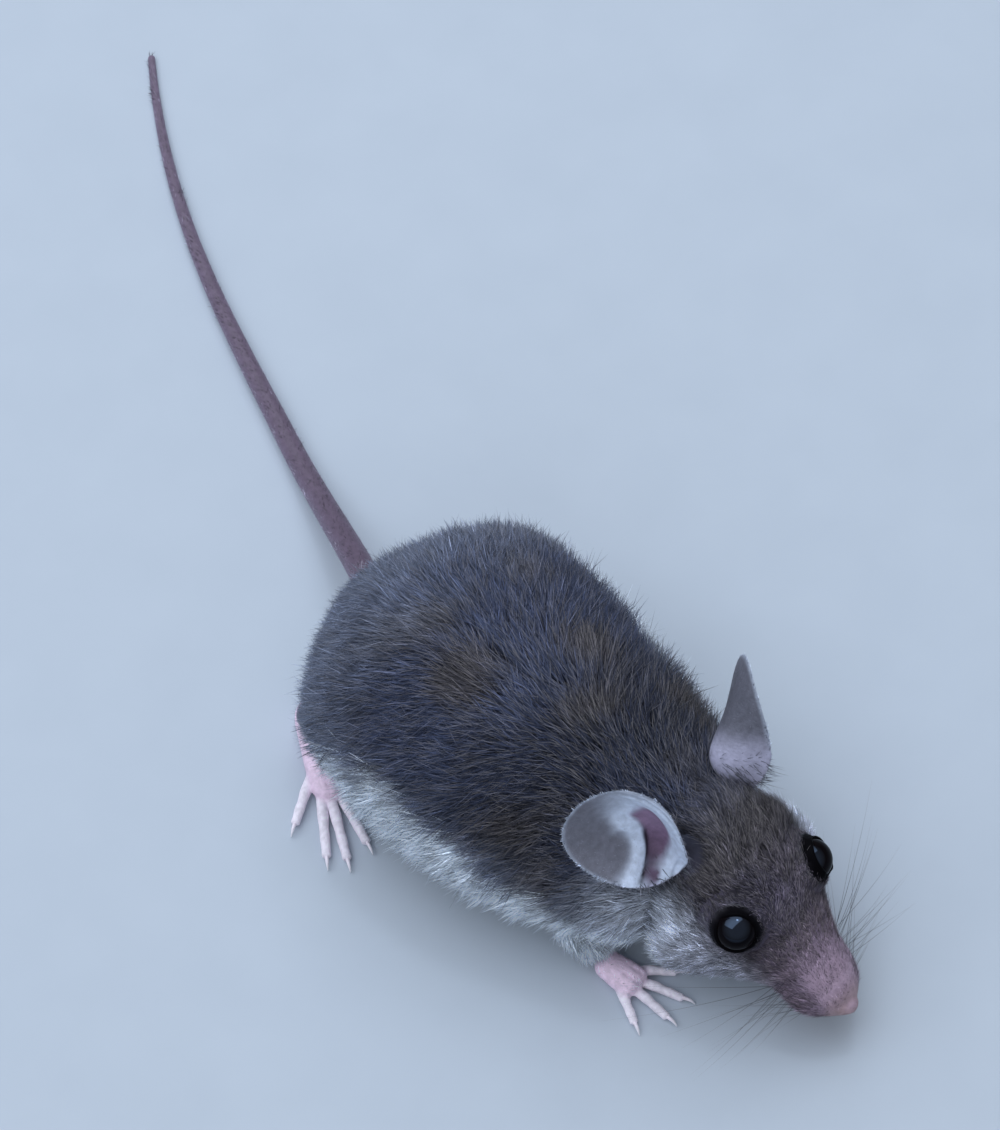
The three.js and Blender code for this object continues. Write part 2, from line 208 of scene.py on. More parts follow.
ARM = [(2.6, 8.6, 9.4), (0.4, 4.4, 5.0), (0, 0, 2.2)]  # inward, back and up from under the wrist
SHANK = [(0.2, -10.5, 5.6), (0, -4.5, 4.2), (0, -0.2, 2.6)]  # and from under the ankle
ARM_RADII, SHANK_RADII = [3.9, 3.0, 1.75], [3.6, 2.9, 2.0]
THIGH_AT, THIGH_HALF, THIGH_TILT = (1, -11.5, 9.0), np.array([5.25, 9.5, 7.25]), math.radians(12)
FOREPAW = {
    "length": 4.6, "width": 3.6, "height": 2.3, "wrist": 0.8, "toe": 1.1,
    "toes": [(-1.5, 3.3, -38, 3.6), (-0.7, 4.3, -16, 4.2), (0.4, 4.3, 4, 4.1), (1.3, 3.1, 30, 3.7)],
}
HIND_FOOT = {
    "length": 10.6, "width": 3.5, "height": 2.6, "wrist": 0.72, "toe": 1.2,
    "toes": [(-1.4, 8.2, -28, 3.4), (-0.9, 10.0, -11, 5.9), (0.1, 10.5, 2, 6.5), (1.0, 10.0, 11, 6.3),
             (1.5, 7.6, 33, 5.0)],
}
HEEL, HEEL_CAP, TOE_CAP = 0.6, 0.22, 0.16
TENDONS = {"height": 0.14, "first": 0.2, "apart": 0.52}
TOE_ARCH = [(-0.3, 0), (0.02, 0.2), (0.3, 0.35), (0.5, 0.2), (0.66, 0.18), (0.84, 0.02), (1, 0)]
TOE_SWELLS = np.array([1, 0.93, 0.98, 0.84, 0.9, 0.8, 0.86])
CLAW_LENGTH, CLAW_RADII, CLAW_TIP = 1.15, [0.22, 0.16, 0.05], 0.24
TAIL_ROOT, TAIL_LENGTH, TAIL_STEPS = np.array([-5.0, 60.5, 8.6]), 76, 40
TAIL_START, TAIL_DESCENT, TAIL_RADII = -6, 24, (1.6, 0.42)
TAIL_HEADINGS = np.radians([20, 18, 36])


def from_head(points, side=LEFT):
    """Points of the head's own frame, for its left side or mirrored to its right."""
    return (points * MIRROR[side]) @ HEAD_TURN.T + HEAD_AT


def cad_middle(node):
    low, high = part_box(node)
    return np.array((low + high) / 2) / MM


eye_middle = (cad_middle("eye_left") + cad_middle("eye_right")) / 2
ORIGIN = (from_head(EYE_AT) + from_head(EYE_AT, RIGHT)) / 2 - eye_middle


def to_row(points):
    return (points - ORIGIN) * MM


# -------- the forms of the body
# Each form places a point for t, from 0 to 1 along it, and an angle once around it.

def trunk(t, angle):
    y = lerp(TRUNK_FRONT, TRUNK_REAR, crowded(t))
    drift, width, back, belly = np.moveaxis(between(TRUNK_Y, TRUNK, y), -1, 0)
    end = round_end(y - TRUNK_FRONT, FRONT_CAP) * round_end(TRUNK_REAR - y, REAR_CAP)
    middle = lerp(belly, back, WIDEST)
    height = np.where(np.sin(angle) > 0, back - middle, middle - belly)
    return xyz(drift + width / 2 * end * np.cos(angle), y, middle + height * end * np.sin(angle))


def head_outline(t, angle):
    """The head in its own frame: whisker pads on the muzzle, a hollow before each eye, and full cheeks."""
    y = lerp(0, HEAD_REAR, crowded(t))
    width, top, chin = np.moveaxis(between(HEAD_Y, HEAD, y), -1, 0)
    end = round_end(y, MUZZLE_CAP) * round_end(HEAD_REAR - y, NAPE_CAP)
    up, out = np.sin(angle), np.abs(np.cos(angle))
    pad = 0.5 * hill(y - 3.6, 2.2) * hill(up + 0.25, 0.5)
    hollow = 0.35 * hill(y - EYE_AT[1] + 1.5, 3.0) * hill(up - 0.5, 0.3)
    jowl = JOWL_BULGE * hill(y - JOWL_Y, JOWL_SPREAD) * hill(up + 0.4, 0.5)
    x = (width / 2 + (pad + jowl - hollow) * out) * end * np.cos(angle)
    return xyz(x, y, (np.where(up > 0, top, chin) + jowl * out) * end * up)


def head(t, angle):
    return from_head(head_outline(t, angle))


def unit_ball(t, angle):
    ring = np.sin(np.pi * t)
    return xyz(ring * np.cos(angle), -np.cos(np.pi * t), ring * np.sin(angle))


def bead(middle, half):
    """An ellipsoid in the head's frame, from its front to its back."""
    return lambda t, angle: from_head(middle + half * unit_ball(t, angle))


def limb(points, radii):
    """A tapered tube along a smooth path, with a radius for each of its points."""
    points = np.asarray(points, float)
    stations = np.linspace(0, 1, len(points))
    length = sizes(np.diff(points, axis=0)).sum()

    def form(t, angle):
        share = crowded(t)
        centre = between(stations, points, share)
        spine = unit(between(stations, points, share + 0.004) - between(stations, points, share - 0.004))
        aside = unit(np.cross(spine, [0, 0, 1.0]))
        above = np.cross(aside, spine)
        radius = between(stations, radii, share)
        cap = round_end(share * length, radii[0]) * round_end((1 - share) * length, radii[-1])
        across, up = (radius * cap * np.cos(angle))[..., None], (radius * cap * np.sin(angle))[..., None]
        return centre + aside * across + above * up
    return form


def leg(path, radii, stance, side):
    x, y, _ = stance[side]
    return limb([(x - side * inward, y + back, up) for inward, back, up in path], radii)


def thigh(side):
    x, y, _ = ANKLE[side]
    inward, back, up = THIGH_AT
    turn = np.array(Matrix.Rotation(THIGH_TILT, 3, "X"))
    middle = np.array([x - side * inward, y + back, up])
    return lambda t, angle: (THIGH_HALF * unit_ball(t, angle)) @ turn.T + middle


def tail_path():
    stride = TAIL_LENGTH / TAIL_STEPS
    share = np.arange(TAIL_STEPS + 1) / TAIL_STEPS
    heading = between([0, 0.5, 1], TAIL_HEADINGS, share[1:] - 0.5 / TAIL_STEPS)
    points = np.zeros((TAIL_STEPS + 1, 3))
    points[:] = TAIL_ROOT
    points[1:, 0] += np.cumsum(stride * np.sin(heading))
    points[1:, 1] += np.cumsum(stride * np.cos(heading))
    points[:, 2] = lerp(tail_radius(share), TAIL_ROOT[2], fall(share * TAIL_LENGTH, TAIL_START, TAIL_DESCENT))
    return points, tail_radius(share)


def tail_radius(share):
    return lerp(*TAIL_RADII, share**0.9)


tail = limb(*tail_path())


def paw_frame(points, stance, side):
    x, y, turn = stance
    spin = np.array(Matrix.Rotation(side * turn, 3, "Z"))
    return points @ spin.T + [x, y, 0]


def palm(shape, stance, side):
    """The middle of a paw, with the tendons of its toes along its back."""
    def form(t, angle):
        share = crowded(t)
        end = round_end(share, HEEL_CAP) * round_end(1 - share, TOE_CAP)
        half = shape["width"] / 2 * lerp(shape["wrist"], 1, rise(share, 0, 0.8))
        row = 2 * np.pi * (np.cos(angle) - TENDONS["first"]) / TENDONS["apart"]
        tendons = TENDONS["height"] * np.cos(row) * rise(share, 0.3, 0.75)
        half_height = (shape["height"] / 2 + tendons * (np.sin(angle) > 0)) * end
        local = xyz(
            half * end * np.cos(angle),
            lerp(HEEL, -shape["length"], share),
            shape["height"] / 2 + half_height * np.sin(angle),
        )
        return paw_frame(local, stance, side)
    return form


def toe_lines(shape, stance, side):
    """For each toe, a function from a share of its length and a height to a point."""
    def line(out, ahead, fan, length):
        fan = math.radians(fan)

        def at(share, z):
            reach = length * share
            local = np.array([side * (out + math.sin(fan) * reach), -(ahead + math.cos(fan) * reach), z])
            return paw_frame(local, stance, side)
        return at, length
    return [line(*each) for each in shape["toes"]]


def toes(shape, stance, side):
    half = shape["toe"] / 2
    return [
        limb([at(share, half + up) for share, up in TOE_ARCH], half * TOE_SWELLS)
        for at, _ in toe_lines(shape, stance, side)]


def claws(shape, stance, side):
    half = shape["toe"] / 2
    forms = []
    for at, length in toe_lines(shape, stance, side):
        end = 1 + CLAW_LENGTH / length
        path = [at(0.9, half + 0.1), at(lerp(1, end, 0.5), half + 0.16), at(end, CLAW_TIP)]
        forms.append(limb(path, CLAW_RADII))
    return forms


def paws(side):
    """The shape and the stance of each paw on one side."""
    return (FOREPAW, WRIST[side]), (HIND_FOOT, ANKLE[side])


def ear_axes(side):
    reach = unit(EAR_REACH * MIRROR[side])
    across = unit(np.cross(-EAR_OPENS[side] * MIRROR[side], reach))
    return across, np.cross(reach, across), reach


# The folds of the ear are arcs round one middle, given in millimetres across and up the ear.
CONCHA = np.array([-2.35, 7.45])
CANAL_ARC, RIDGE_ARCS, FOLD_ARCS = 4.87, (2.5, 3.7), (6.75, 7.5)
EAR_MOUTH = np.array([1.2, -2.6, 2.4])
SWELL_AT, SWELL_SPREAD, SWELL_BACK = (0.4, 3.2), 3.6, 2.3  # the thick base of the ear
RIB_DEPTH, RIB_PACE = 0.05, 16


def ear_marks(x, z):
    """The shares of canal, painted shadow, pale rim, ridge and fold on the ear's inner face, and how low it
    is.
    """
    dx, dz = x - CONCHA[0], z - CONCHA[1]
    arc = np.hypot(dx, dz)
    down = np.degrees(np.arctan2(-dz, dx)) / 90
    low = np.clip(down, 0, 1)
    widens = rise(down, 0.45, 1.0)
    half, middle = lerp(1.15, 0.85, widens), CANAL_ARC + 0.35 * widens
    off = np.abs(arc - middle) - half
    span = rise(down, -0.14, 0.06) * fall(down, 0.96, 1.1)
    canal = span * fall(off, -0.25, 0.1)
    # painted shadow: a dark line along the canal's inner edge, where the ridge's lip would shade it
    shadow = hill(arc - middle + half - 0.1, 0.22) * rise(down, 0.2, 0.5) * fall(down, 1.02, 1.12)
    pale = fall(off, 0.2, 2.1) * rise(down, -0.7, -0.1) * fall(down, 1.2, 1.8)
    # the pale of the ridge and the folds is partly the skin's own and partly a painted highlight where they
    # stand out
    ridge = hill(arc - lerp(*RIDGE_ARCS, low), lerp(1.1, 0.7, low))
    ridge = ridge * rise(down, -0.5, 0.1) * fall(down, 1.1, 1.5)
    fold = sum(hill(arc - each, 0.28) for each in FOLD_ARCS) * rise(down, -0.5, 0.0)
    return canal, shadow, pale, ridge, fold * fall(down, 0.8, 1.0), low


def ear_local(side, t, angle):
    """The ear in its own frame: x across, -y the way it opens, z along it. Also which face a point is on."""
    rim = np.sin(np.pi * t)
    across = rim * np.cos(angle)
    height = (rim * np.sin(angle) + 1) / 2
    low = 1 - height
    half = EAR_WIDTH / 2 * lerp(0.66, 1.06, height) * (1 - 0.25 * low**2)
    half = half * (1 + 0.13 * np.clip(np.cos(angle), 0, 1) * hill(height - 0.5, 0.35))
    half = half * (1 - EAR_NARROW[side] * height**2)
    wrap = EAR_FUNNEL * low**1.5 * across**2
    depth = EAR_CUP[side] * (rim**2 - 0.5) + wrap - EAR_TIP_LEAN[side] * height**2
    shell = np.cos(np.pi * t)
    thickness = EAR_THICKNESS / 2 * np.sign(shell) * np.abs(shell) ** 0.7
    x, z = across * half, EAR_LENGTH * height
    canal, _, _, ridge, fold, down = ear_marks(x, z)
    inner = rise(-shell, 0.0, 0.35)
    outer = rise(shell, 0.0, 0.35)
    swell = hill(np.hypot(x - SWELL_AT[0], z - SWELL_AT[1]), SWELL_SPREAD) * rise(rim, 1, 0.8)
    hollow = np.minimum(lerp(0.3, 1.1, rise(down, 0.2, 0.9)), 0.1 + swell) * canal
    y = thickness - depth + inner * (hollow - 0.35 * ridge - 0.3 * fold) + outer * SWELL_BACK * swell
    rib = RIB_DEPTH * np.sin(across * RIB_PACE + ripple(xyz(x, 0, z), 5, 3)) * rise(height, 0.3, 0.7)
    return xyz(x, y + inner * rib, z), inner, outer


def from_ear(side, local):
    across, back, reach = ear_axes(side)
    root = from_head(EAR_ROOT[side], side) - reach * EAR_SINK
    return root + local @ np.stack([across, back, reach])


def ear(side):
    return lambda t, angle: from_ear(side, ear_local(side, t, angle)[0])


def from_eyes(h):
    """How far points of the head's frame are from the middle of the nearer eye."""
    return np.minimum(*(sizes(h - EYE_AT * MIRROR[side]) for side in SIDES))


def from_ear_mouths(p):
    """How far points are from the nearer ear's mouth, where its canal goes down into the head."""
    return np.minimum(*(sizes(p - from_ear(side, EAR_MOUTH)) for side in SIDES))


# -------- making meshes

def spread(low, high, count, crowd):
    """Places from low to high, closer together where crowd is higher."""
    fine = np.linspace(low, high, 2000)
    total = np.cumsum(crowd(fine))
    return np.interp(np.linspace(total[0], total[-1], count), total, fine)


def normals_of(points, triangles):
    a, b, c = points[triangles].transpose(1, 0, 2)
    faces = np.cross(b - a, c - a)
    total = np.zeros_like(points)
    for corner in range(3):
        np.add.at(total, triangles[:, corner], faces)
    return unit(total)


def volume_of(points, triangles):
    a, b, c = points[triangles].transpose(1, 0, 2)
    return np.einsum("ij,ij->i", a, np.cross(b, c)).sum() / 6


def write(items, field, values, kind=np.float32):
    """Gives a field of many items its values at once."""
    items.foreach_set(field, values.astype(kind).ravel())


def read(items, field, kind):
    """A field of many items, which has three values for each."""
    values = np.zeros(len(items) * 3, kind)
    items.foreach_get(field, values)
    return values.reshape(-1, 3)


def make_mesh(name, points, triangles):
    mesh = bpy.data.meshes.new(name)
    mesh.vertices.add(len(points))
    write(mesh.vertices, "co", points)
    mesh.loops.add(triangles.size)
    write(mesh.loops, "vertex_index", triangles, np.int32)
    mesh.polygons.add(len(triangles))
    write(mesh.polygons, "loop_start", np.arange(0, triangles.size, 3), np.int32)
    mesh.update(calc_edges=True)
    mesh.shade_smooth()
    return mesh


def make_object(name, mesh):
    made = bpy.data.objects.new(name, mesh)
    bpy.context.scene.collection.objects.link(made)
    return made


def make_piece(name, points, triangles, slot, material, tones=None):
    """A piece of the mouse, from points in millimetres, with a tone for each point where they are given."""
    mesh = make_mesh(name, to_row(points), triangles)
    if tones is not None:
        layer = mesh.color_attributes.new("tone", "FLOAT_COLOR", "POINT")
        write(layer.data, "color", np.c_[tones, np.ones(len(tones))])
    mesh.materials.append(material)
    piece = make_object(name, mesh)
    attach(piece, "root")
    return piece


def grid_faces(rings, sides, looped):
    """The faces of a closed grid, whose first and last rings close to a point unless it is looped."""
    ring, side = np.meshgrid(np.arange(rings if looped else rings - 1), np.arange(sides), indexing="ij")
    a, b = (ring * sides + side).ravel(), (ring * sides + (side + 1) % sides).ravel()
    below_a, below_b = (a + sides) % (rings * sides), (b + sides) % (rings * sides)
    faces = np.r_[np.c_[a, below_a, below_b], np.c_[a, below_b, b]]
    if looped:
        return faces
    last = (rings - 1) * sides
    faces = np.where(faces < sides, 0, np.where(faces >= last, last, faces))
    return faces[(faces != np.roll(faces, 1, 1)).all(1)]


class Form:
    """A closed grid of points over a form: where each is on it, its normal, and the way from front to back.

    Rings and sides are numbers of them, or the places of each. The outline is the form itself, and the points
    lie below it by the sink, which is a depth or a function of the form.
    """

    def __init__(self, name, shape, rings, sides, sink=0.0, blend=0.3, looped=False):
        self.name, self.blend = name, blend
        ts = np.linspace(0, 1, rings, endpoint=not looped) if np.isscalar(rings) else rings
        angles = np.linspace(0, 2 * np.pi, sides, endpoint=False) if np.isscalar(sides) else sides
        places = shape(ts[:, None], angles[None, :])
        along = np.gradient(places, axis=0)
        if not looped:
            places[0], places[-1] = places[0].mean(0), places[-1].mean(0)
        around = np.roll(places, -1, 1) - np.roll(places, 1, 1)
        used, faces = np.unique(grid_faces(len(ts), len(angles), looped), return_inverse=True)
        self.triangles = faces.reshape(-1, 3)
        self.outline = places.reshape(-1, 3)[used]
        self.flow, self.around = (unit(way.reshape(-1, 3)[used]) for way in (along, around))
        self.t, self.angle = np.repeat(ts, len(angles))[used], np.tile(angles, len(ts))[used]
        if volume_of(self.outline, self.triangles) < 0:
            self.triangles = self.triangles[:, ::-1]
        self.normals = normals_of(self.outline, self.triangles)
        depth = sink(self) if callable(sink) else np.full(len(used), sink)
        self.points = self.outline - self.normals * depth[:, None]


# -------- the skin's forms, inside the coat

def into_head(points):
    return (points - HEAD_AT) @ HEAD_TURN


def trunk_sink(form):
    y, up = form.outline[:, 1], np.sin(form.angle)
    depth = lerp(0.8, 1.8, rise(up, -0.6, 0.4)) * lerp(0.7, 1, rise(y, 13, 26))
    return depth * lerp(1, 0.45, rise(y, 46, 60))


def head_sink(form):
    y = into_head(form.outline)[:, 1]
    return between([0, 4, 9, 13, 18, 24, 29], [0.1, 0.18, 0.4, 0.55, 0.9, 1.3, 1.5], y)


def towards_foot(top, foot):
    return lambda form: lerp(top, foot, rise(form.t, 0.2, 0.8))


EYE_RADIUS, LID_THICKNESS = EYE_SIZE / 2, 0.26
SOCKET_REACH, SOCKET_DEPTH, BEHIND_BALL, BEHIND_LID, UNDER_LID = 3.4, 2.6, 0.25, 0.15, 0.02
EAR_HOLLOW, EAR_HOLLOW_SPREAD = 2.1, 3.0
NOSTRIL_AT, NOSTRIL_SHAPE = np.array([0.58, 0.05, 0.55]), np.array([1, 1, 0.7])
NOSTRIL_DEPTH, NOSTRIL_SPREAD, GROOVE_DEPTH, GROOVE_SPREAD = 0.42, 0.26, 0.14, 0.13
LID_OPENING = {RIGHT: 1.92, LEFT: 1.8}
CORNER = unit(NOSE_AT - EYE_AT - EYE_AXIS * ((NOSE_AT - EYE_AT) @ EYE_AXIS))
CORNER_SIDE = np.cross(EYE_AXIS, CORNER)


def lid(side):
    """The rim of the lids: a thin ring on the ball, drawn out to a point at its front corner."""
    def form(t, angle):
        turn = 2 * np.pi * t
        off_front = np.abs((turn + np.pi) % (2 * np.pi) - np.pi)
        reach = LID_OPENING[side] + 0.5 * hill(off_front, 0.3) + 0.1 * hill(np.pi - off_front, 0.4)
        height = np.sqrt(np.clip(EYE_RADIUS**2 - reach**2, 0.0, None)) + 0.06
        outward = CORNER * np.cos(turn)[..., None] + CORNER_SIDE * np.sin(turn)[..., None]
        centre = EYE_AT + outward * reach[..., None] + EYE_AXIS * height[..., None]
        tube = LID_THICKNESS * (np.cos(angle)[..., None] * outward + np.sin(angle)[..., None] * EYE_AXIS)
        return from_head((centre + tube), side)
    return form


def press_sockets(form):
    """The head round each eye: hidden behind the ball, then up to the lid and down again to the cheek."""
    local = into_head(form.points)
    for side in SIDES:
        middle, axis, opening = EYE_AT * MIRROR[side], EYE_AXIS * MIRROR[side], LID_OPENING[side]
        offset = local - middle
        height = offset @ axis
        flat = offset - height[:, None] * axis
        reach = sizes(flat)
        ball = np.sqrt(np.clip(EYE_RADIUS**2 - reach**2, 0, None))
        rim = math.sqrt(EYE_RADIUS**2 - opening**2) - UNDER_LID
        slope = lerp(rim, height, rise(reach, opening, SOCKET_REACH))
        hidden = np.minimum(ball - BEHIND_BALL, rim - BEHIND_LID)
        wanted = lerp(hidden, slope, rise(reach, opening - 0.2, opening + 0.1))
        near = (reach < SOCKET_REACH) & (height > -SOCKET_DEPTH)
        local = np.where(near[:, None], flat + axis * wanted[:, None] + middle, local)
    form.points = from_head(local)


def press_ear_mouths(form):
    """The head sinks a little before each ear, so that its mouth stays clear."""
    for side in SIDES:
        hollow = EAR_HOLLOW * hill(sizes(form.points - from_ear(side, EAR_MOUTH)), EAR_HOLLOW_SPREAD)
        form.points = form.points - unit(EAR_OPENS[side] * MIRROR[side]) * hollow[:, None]


def press_nostrils(form):
    """Two nostrils that open forward and to the side, and the groove below them."""
    local = into_head(form.points)
    inward = unit(NOSE_AT - local)
    for side in SIDES:
        pit = sizes((local - NOSTRIL_AT * MIRROR[side]) / NOSTRIL_SHAPE)
        local += inward * (NOSTRIL_DEPTH * hill(pit, NOSTRIL_SPREAD))[:, None]
    x, y, z = local.T
    groove = hill(x, GROOVE_SPREAD) * rise(0.6 - z, 0, 0.4) * rise(0.8 - y, 0, 0.4)
    form.points = from_head(local + inward * (GROOVE_DEPTH * groove)[:, None])


def crowd_at_eyes(angle):
    eye = math.atan2(EYE_AT[2], EYE_AT[0])
    return 1 + 2 * hill(angle - eye, 0.45) + 2 * hill(angle - (np.pi - eye), 0.45)


def forms_of(side):
    """The ear, the lid and the limbs of one side."""
    yield Form("ear", ear(side), 84, 88, sink=0.03, blend=0.8)
    yield Form("lid", lid(side), 72, 12, blend=0.35, looped=True)
    yield Form("arm", leg(ARM, ARM_RADII, WRIST, side), 36, 40, sink=towards_foot(0.8, 0.3), blend=2.6)
    yield Form("shank", leg(SHANK, SHANK_RADII, ANKLE, side), 36, 40, sink=towards_foot(1.2, 0.25), blend=2.0)
    yield Form("thigh", thigh(side), 40, 48, sink=1.1, blend=3.0)
    for paw in paws(side):
        yield Form("palm", palm(*paw, side), 36, 32, sink=0.04, blend=0.8)
        for toe in toes(*paw, side):
            yield Form("toe", toe, 34, 18, sink=0.03, blend=0.3)


def make_forms():
    head_ts = spread(0, 1, 190, lambda t: 1 + 1.6 * hill(t - 0.47, 0.13) + 0.6 * hill(t, 0.2))
    head_angles = spread(0, 2 * np.pi, 197, crowd_at_eyes)[:-1]
    trunk_form = Form("trunk", trunk, 116, 120, sink=trunk_sink, blend=2.5)
    head_form = Form("head", head, head_ts, head_angles, sink=head_sink, blend=2.5)
    jaw = Form("jaw", bead(JAW_AT, JAW_HALF), 44, 48, sink=0.25, blend=0.5)
    nose = Form("nose", bead(NOSE_AT, NOSE_HALF), 44, 52, blend=1.4)
    press_sockets(head_form)
    press_ear_mouths(trunk_form)
    press_ear_mouths(head_form)
    press_nostrils(nose)
    tail_form = Form("tail", tail, 300, 22, sink=0.05, blend=1.5)
    return [trunk_form, head_form, jaw, nose, tail_form, *(form for side in SIDES for form in forms_of(side))]


forms = make_forms()
FORM_NAMES = sorted({form.name for form in forms})


def stacked(field):
    return np.concatenate([getattr(form, field) for form in forms])


def by_form(values):
    return np.concatenate([np.full(len(form.points), value) for form, value in zip(forms, values)])


source = {field: stacked(field) for field in ("points", "outline", "normals", "flow", "around", "t", "angle")}
source["blend"] = by_form([form.blend for form in forms])
source["form"] = by_form([FORM_NAMES.index(form.name) for form in forms])
source["piece"] = by_form(range(len(forms)))


def unite(forms):
    """One closed mesh from forms that overlap."""
    parts = bpy.data.collections.new("parts")
    base = make_object("base", make_mesh("base", forms[0].points, forms[0].triangles))
    others = []
    for form in forms[1:]:
        other = bpy.data.objects.new(form.name, make_mesh(form.name, form.points, form.triangles))
        parts.objects.link(other)
        others.append(other)
    union = base.modifiers.new("union", "BOOLEAN")
    union.operation, union.solver = "UNION", "MANIFOLD"
    union.operand_type, union.collection = "COLLECTION", parts
    evaluated = base.evaluated_get(bpy.context.evaluated_depsgraph_get())
    mesh = bpy.data.meshes.new_from_object(evaluated)
    mesh.calc_loop_triangles()
    points, triangles = read(mesh.vertices, "co", float), read(mesh.loop_triangles, "vertices", int)
    for each in [base] + others:
        bpy.data.objects.remove(each)
    bpy.data.collections.remove(parts)
    return points, triangles


def nearest(targets, points):
    """For each point, the number of the nearest target and how far it is."""
    tree = KDTree(len(targets))
    for i, target in enumerate(targets):
        tree.insert(target, i)
    tree.balance()
    _, index, gap = zip(*(tree.find(point) for point in points))
    return np.array(index), np.array(gap)


class Neighbours:
    """The mean of values over the points that share an edge with each point."""

    def __init__(self, count, triangles):
        pairs = np.vstack([triangles[:, [0, 1]], triangles[:, [1, 2]], triangles[:, [2, 0]]])
        pairs = np.unique(np.vstack([pairs, pairs[:, ::-1]]), axis=0)
        self.others = pairs[:, 1]
        self.starts = np.searchsorted(pairs[:, 0], np.arange(count))
        self.counts = np.bincount(pairs[:, 0], minlength=count)[:, None]

    def relax(self, values, share, rounds):
        for _ in range(rounds):
            mean = np.add.reduceat(values[self.others], self.starts, axis=0) / self.counts
            values = values + share[:, None] * (mean - values)
        return values


# -------- markings, shared by the skin and the coat

SLATE, DARK, BROWN = colour(64, 71, 96), colour(35, 39, 56), colour(80, 73, 70)
RUMP_GREY, CHEEK_GREY, PALE = colour(126, 134, 156), colour(204, 210, 224), colour(232, 240, 250)
UNDER_FUR = colour(46, 50, 64)
MAUVE, TIP_TAN, LIP = colour(172, 148, 166), colour(168, 140, 142), colour(196, 150, 138)
EAR_FUZZ, FOOT_FUZZ, TAIL_FUZZ = colour(140, 142, 154), colour(226, 218, 232), colour(172, 166, 184)
HEAD_MAUVE, MUZZLE_HAIR = colour(100, 90, 112), colour(126, 110, 126)
# the last colour here is painted shade: the dark of the deep canal and of the shadow under the ridge's lip
EAR_GREY, EAR_PALE, CANAL_MAUVE, CANAL_PAINTED_SHADE = (
    colour(118, 118, 130), colour(210, 220, 240), colour(142, 116, 144), colour(26, 18, 26))
EAR_BASE, LID_DARK = colour(182, 180, 204), colour(9, 8, 11)
FOOT_PINK, TOE_PALE = colour(246, 218, 238), colour(250, 240, 250)
TAIL_MAUVE, TAIL_PALE = colour(86, 70, 88), colour(150, 134, 156)
TAIL_HAIR = colour(58, 50, 62)
TICK = colour(172, 164, 160)


def in_forms(form, *names):
    return np.isin(form, [FORM_NAMES.index(name) for name in names])


def parts_of(s):
    """For the name of each form, which source points are on it."""
    return {name: in_forms(s["form"], name) for name in FORM_NAMES}


def ears_of(s):
    """For each side: which source points are on its ear, where in the ear's own frame, and on which face."""
    for side in SIDES:
        mine = in_forms(s["form"], "ear") & (s["outline"][:, 0] * side > side * HEAD_AT[0])
        yield side, mine, *ear_local(side, s["t"][mine], s["angle"][mine])


def body_colour(p, up, patches):
    """Slate with a dark saddle and brown patches, and grey on the rump; the grey low on the flanks is painted
    light against the shade there.
    """
    _, y, z = p.T
    return painted(
        SLATE,
        (DARK, 0.95 * hill(y - 27, 7) * rise(z, 9, 18)),
        (BROWN, 0.7 * rise(patches, 0, 1)),
        (RUMP_GREY, 0.85 * rise(y + 1.5 * patches, 44, 58)),
        # painted light: the low flanks lightened with the rump's grey, against the shade they are in facing
        # away from the lamps
        (RUMP_GREY, 0.8 * fall(up, 0.2, 0.7) * rise(y, 20, 29)),
    )


def crown_colour(h, patches):
    """Brown and dark on the crown, with grey cheeks and a mauve muzzle, from places in the head's frame."""
    x, y, z = h.T
    return painted(
        BROWN,
        (DARK, 0.45 * hill(y - 17, 6) + 0.3 * rise(patches, 0, 1)),
        (CHEEK_GREY, rise(0.8 * np.abs(x) - 1.2 * z, 0.4, 6.2)),
        (HEAD_MAUVE, 0.4 * hill(y - 12, 4)),
        (MUZZLE_HAIR, rise(11 - y, 0, 7)),
    )


def coat_colour(s):
    """The colour of the coat at the source points."""
    p, up, parts = s["outline"], np.sin(s["angle"]), parts_of(s)
    h = into_head(p)
    on_trunk, on_head = parts["trunk"], in_forms(s["form"], "head", "jaw", "nose", "lid", "ear")
    patches, edge = ripple(p, 9, 21), 0.5 * ripple(p, 4, 22)
    top = between([12, 20, 28, 46, 54, 64], [-0.5, -0.05, 0.17, 0.15, -0.38, -0.6], p[:, 1]) + 0.2 * edge
    belly = fall(up, top, top + 0.16) * on_trunk
    pale_up_to = np.where(parts["arm"], 7.5, 4.5)
    under_leg = fall(p[:, 2] + edge, pale_up_to - 2, pale_up_to) * ~on_trunk * ~on_head
    throat = rise(-h[:, 2] + edge, 3.6, 5.6) * on_head
    whole = painted(
        body_colour(p, up, patches),
        (crown_colour(h, patches), np.where(on_head | on_trunk, fall(h[:, 1], 18, 27), 0)),
        (PALE, np.clip(belly + under_leg + throat, 0, 1)),
        (FOOT_FUZZ, parts["palm"] | parts["toe"]),
        (mix(TAIL_FUZZ, TAIL_HAIR, rise(up, 0.4, 0.9)), parts["tail"]),
    )
    for _, mine, local, _, outer in ears_of(s):
        rim = rise(np.sin(np.pi * s["t"][mine]), 0.95, 1.0)
        whole[mine] = mix(mix(EAR_FUZZ, DARK, 0.6 * outer), EAR_PALE, rim * rise(local[:, 2], 3, 6))
    return whole


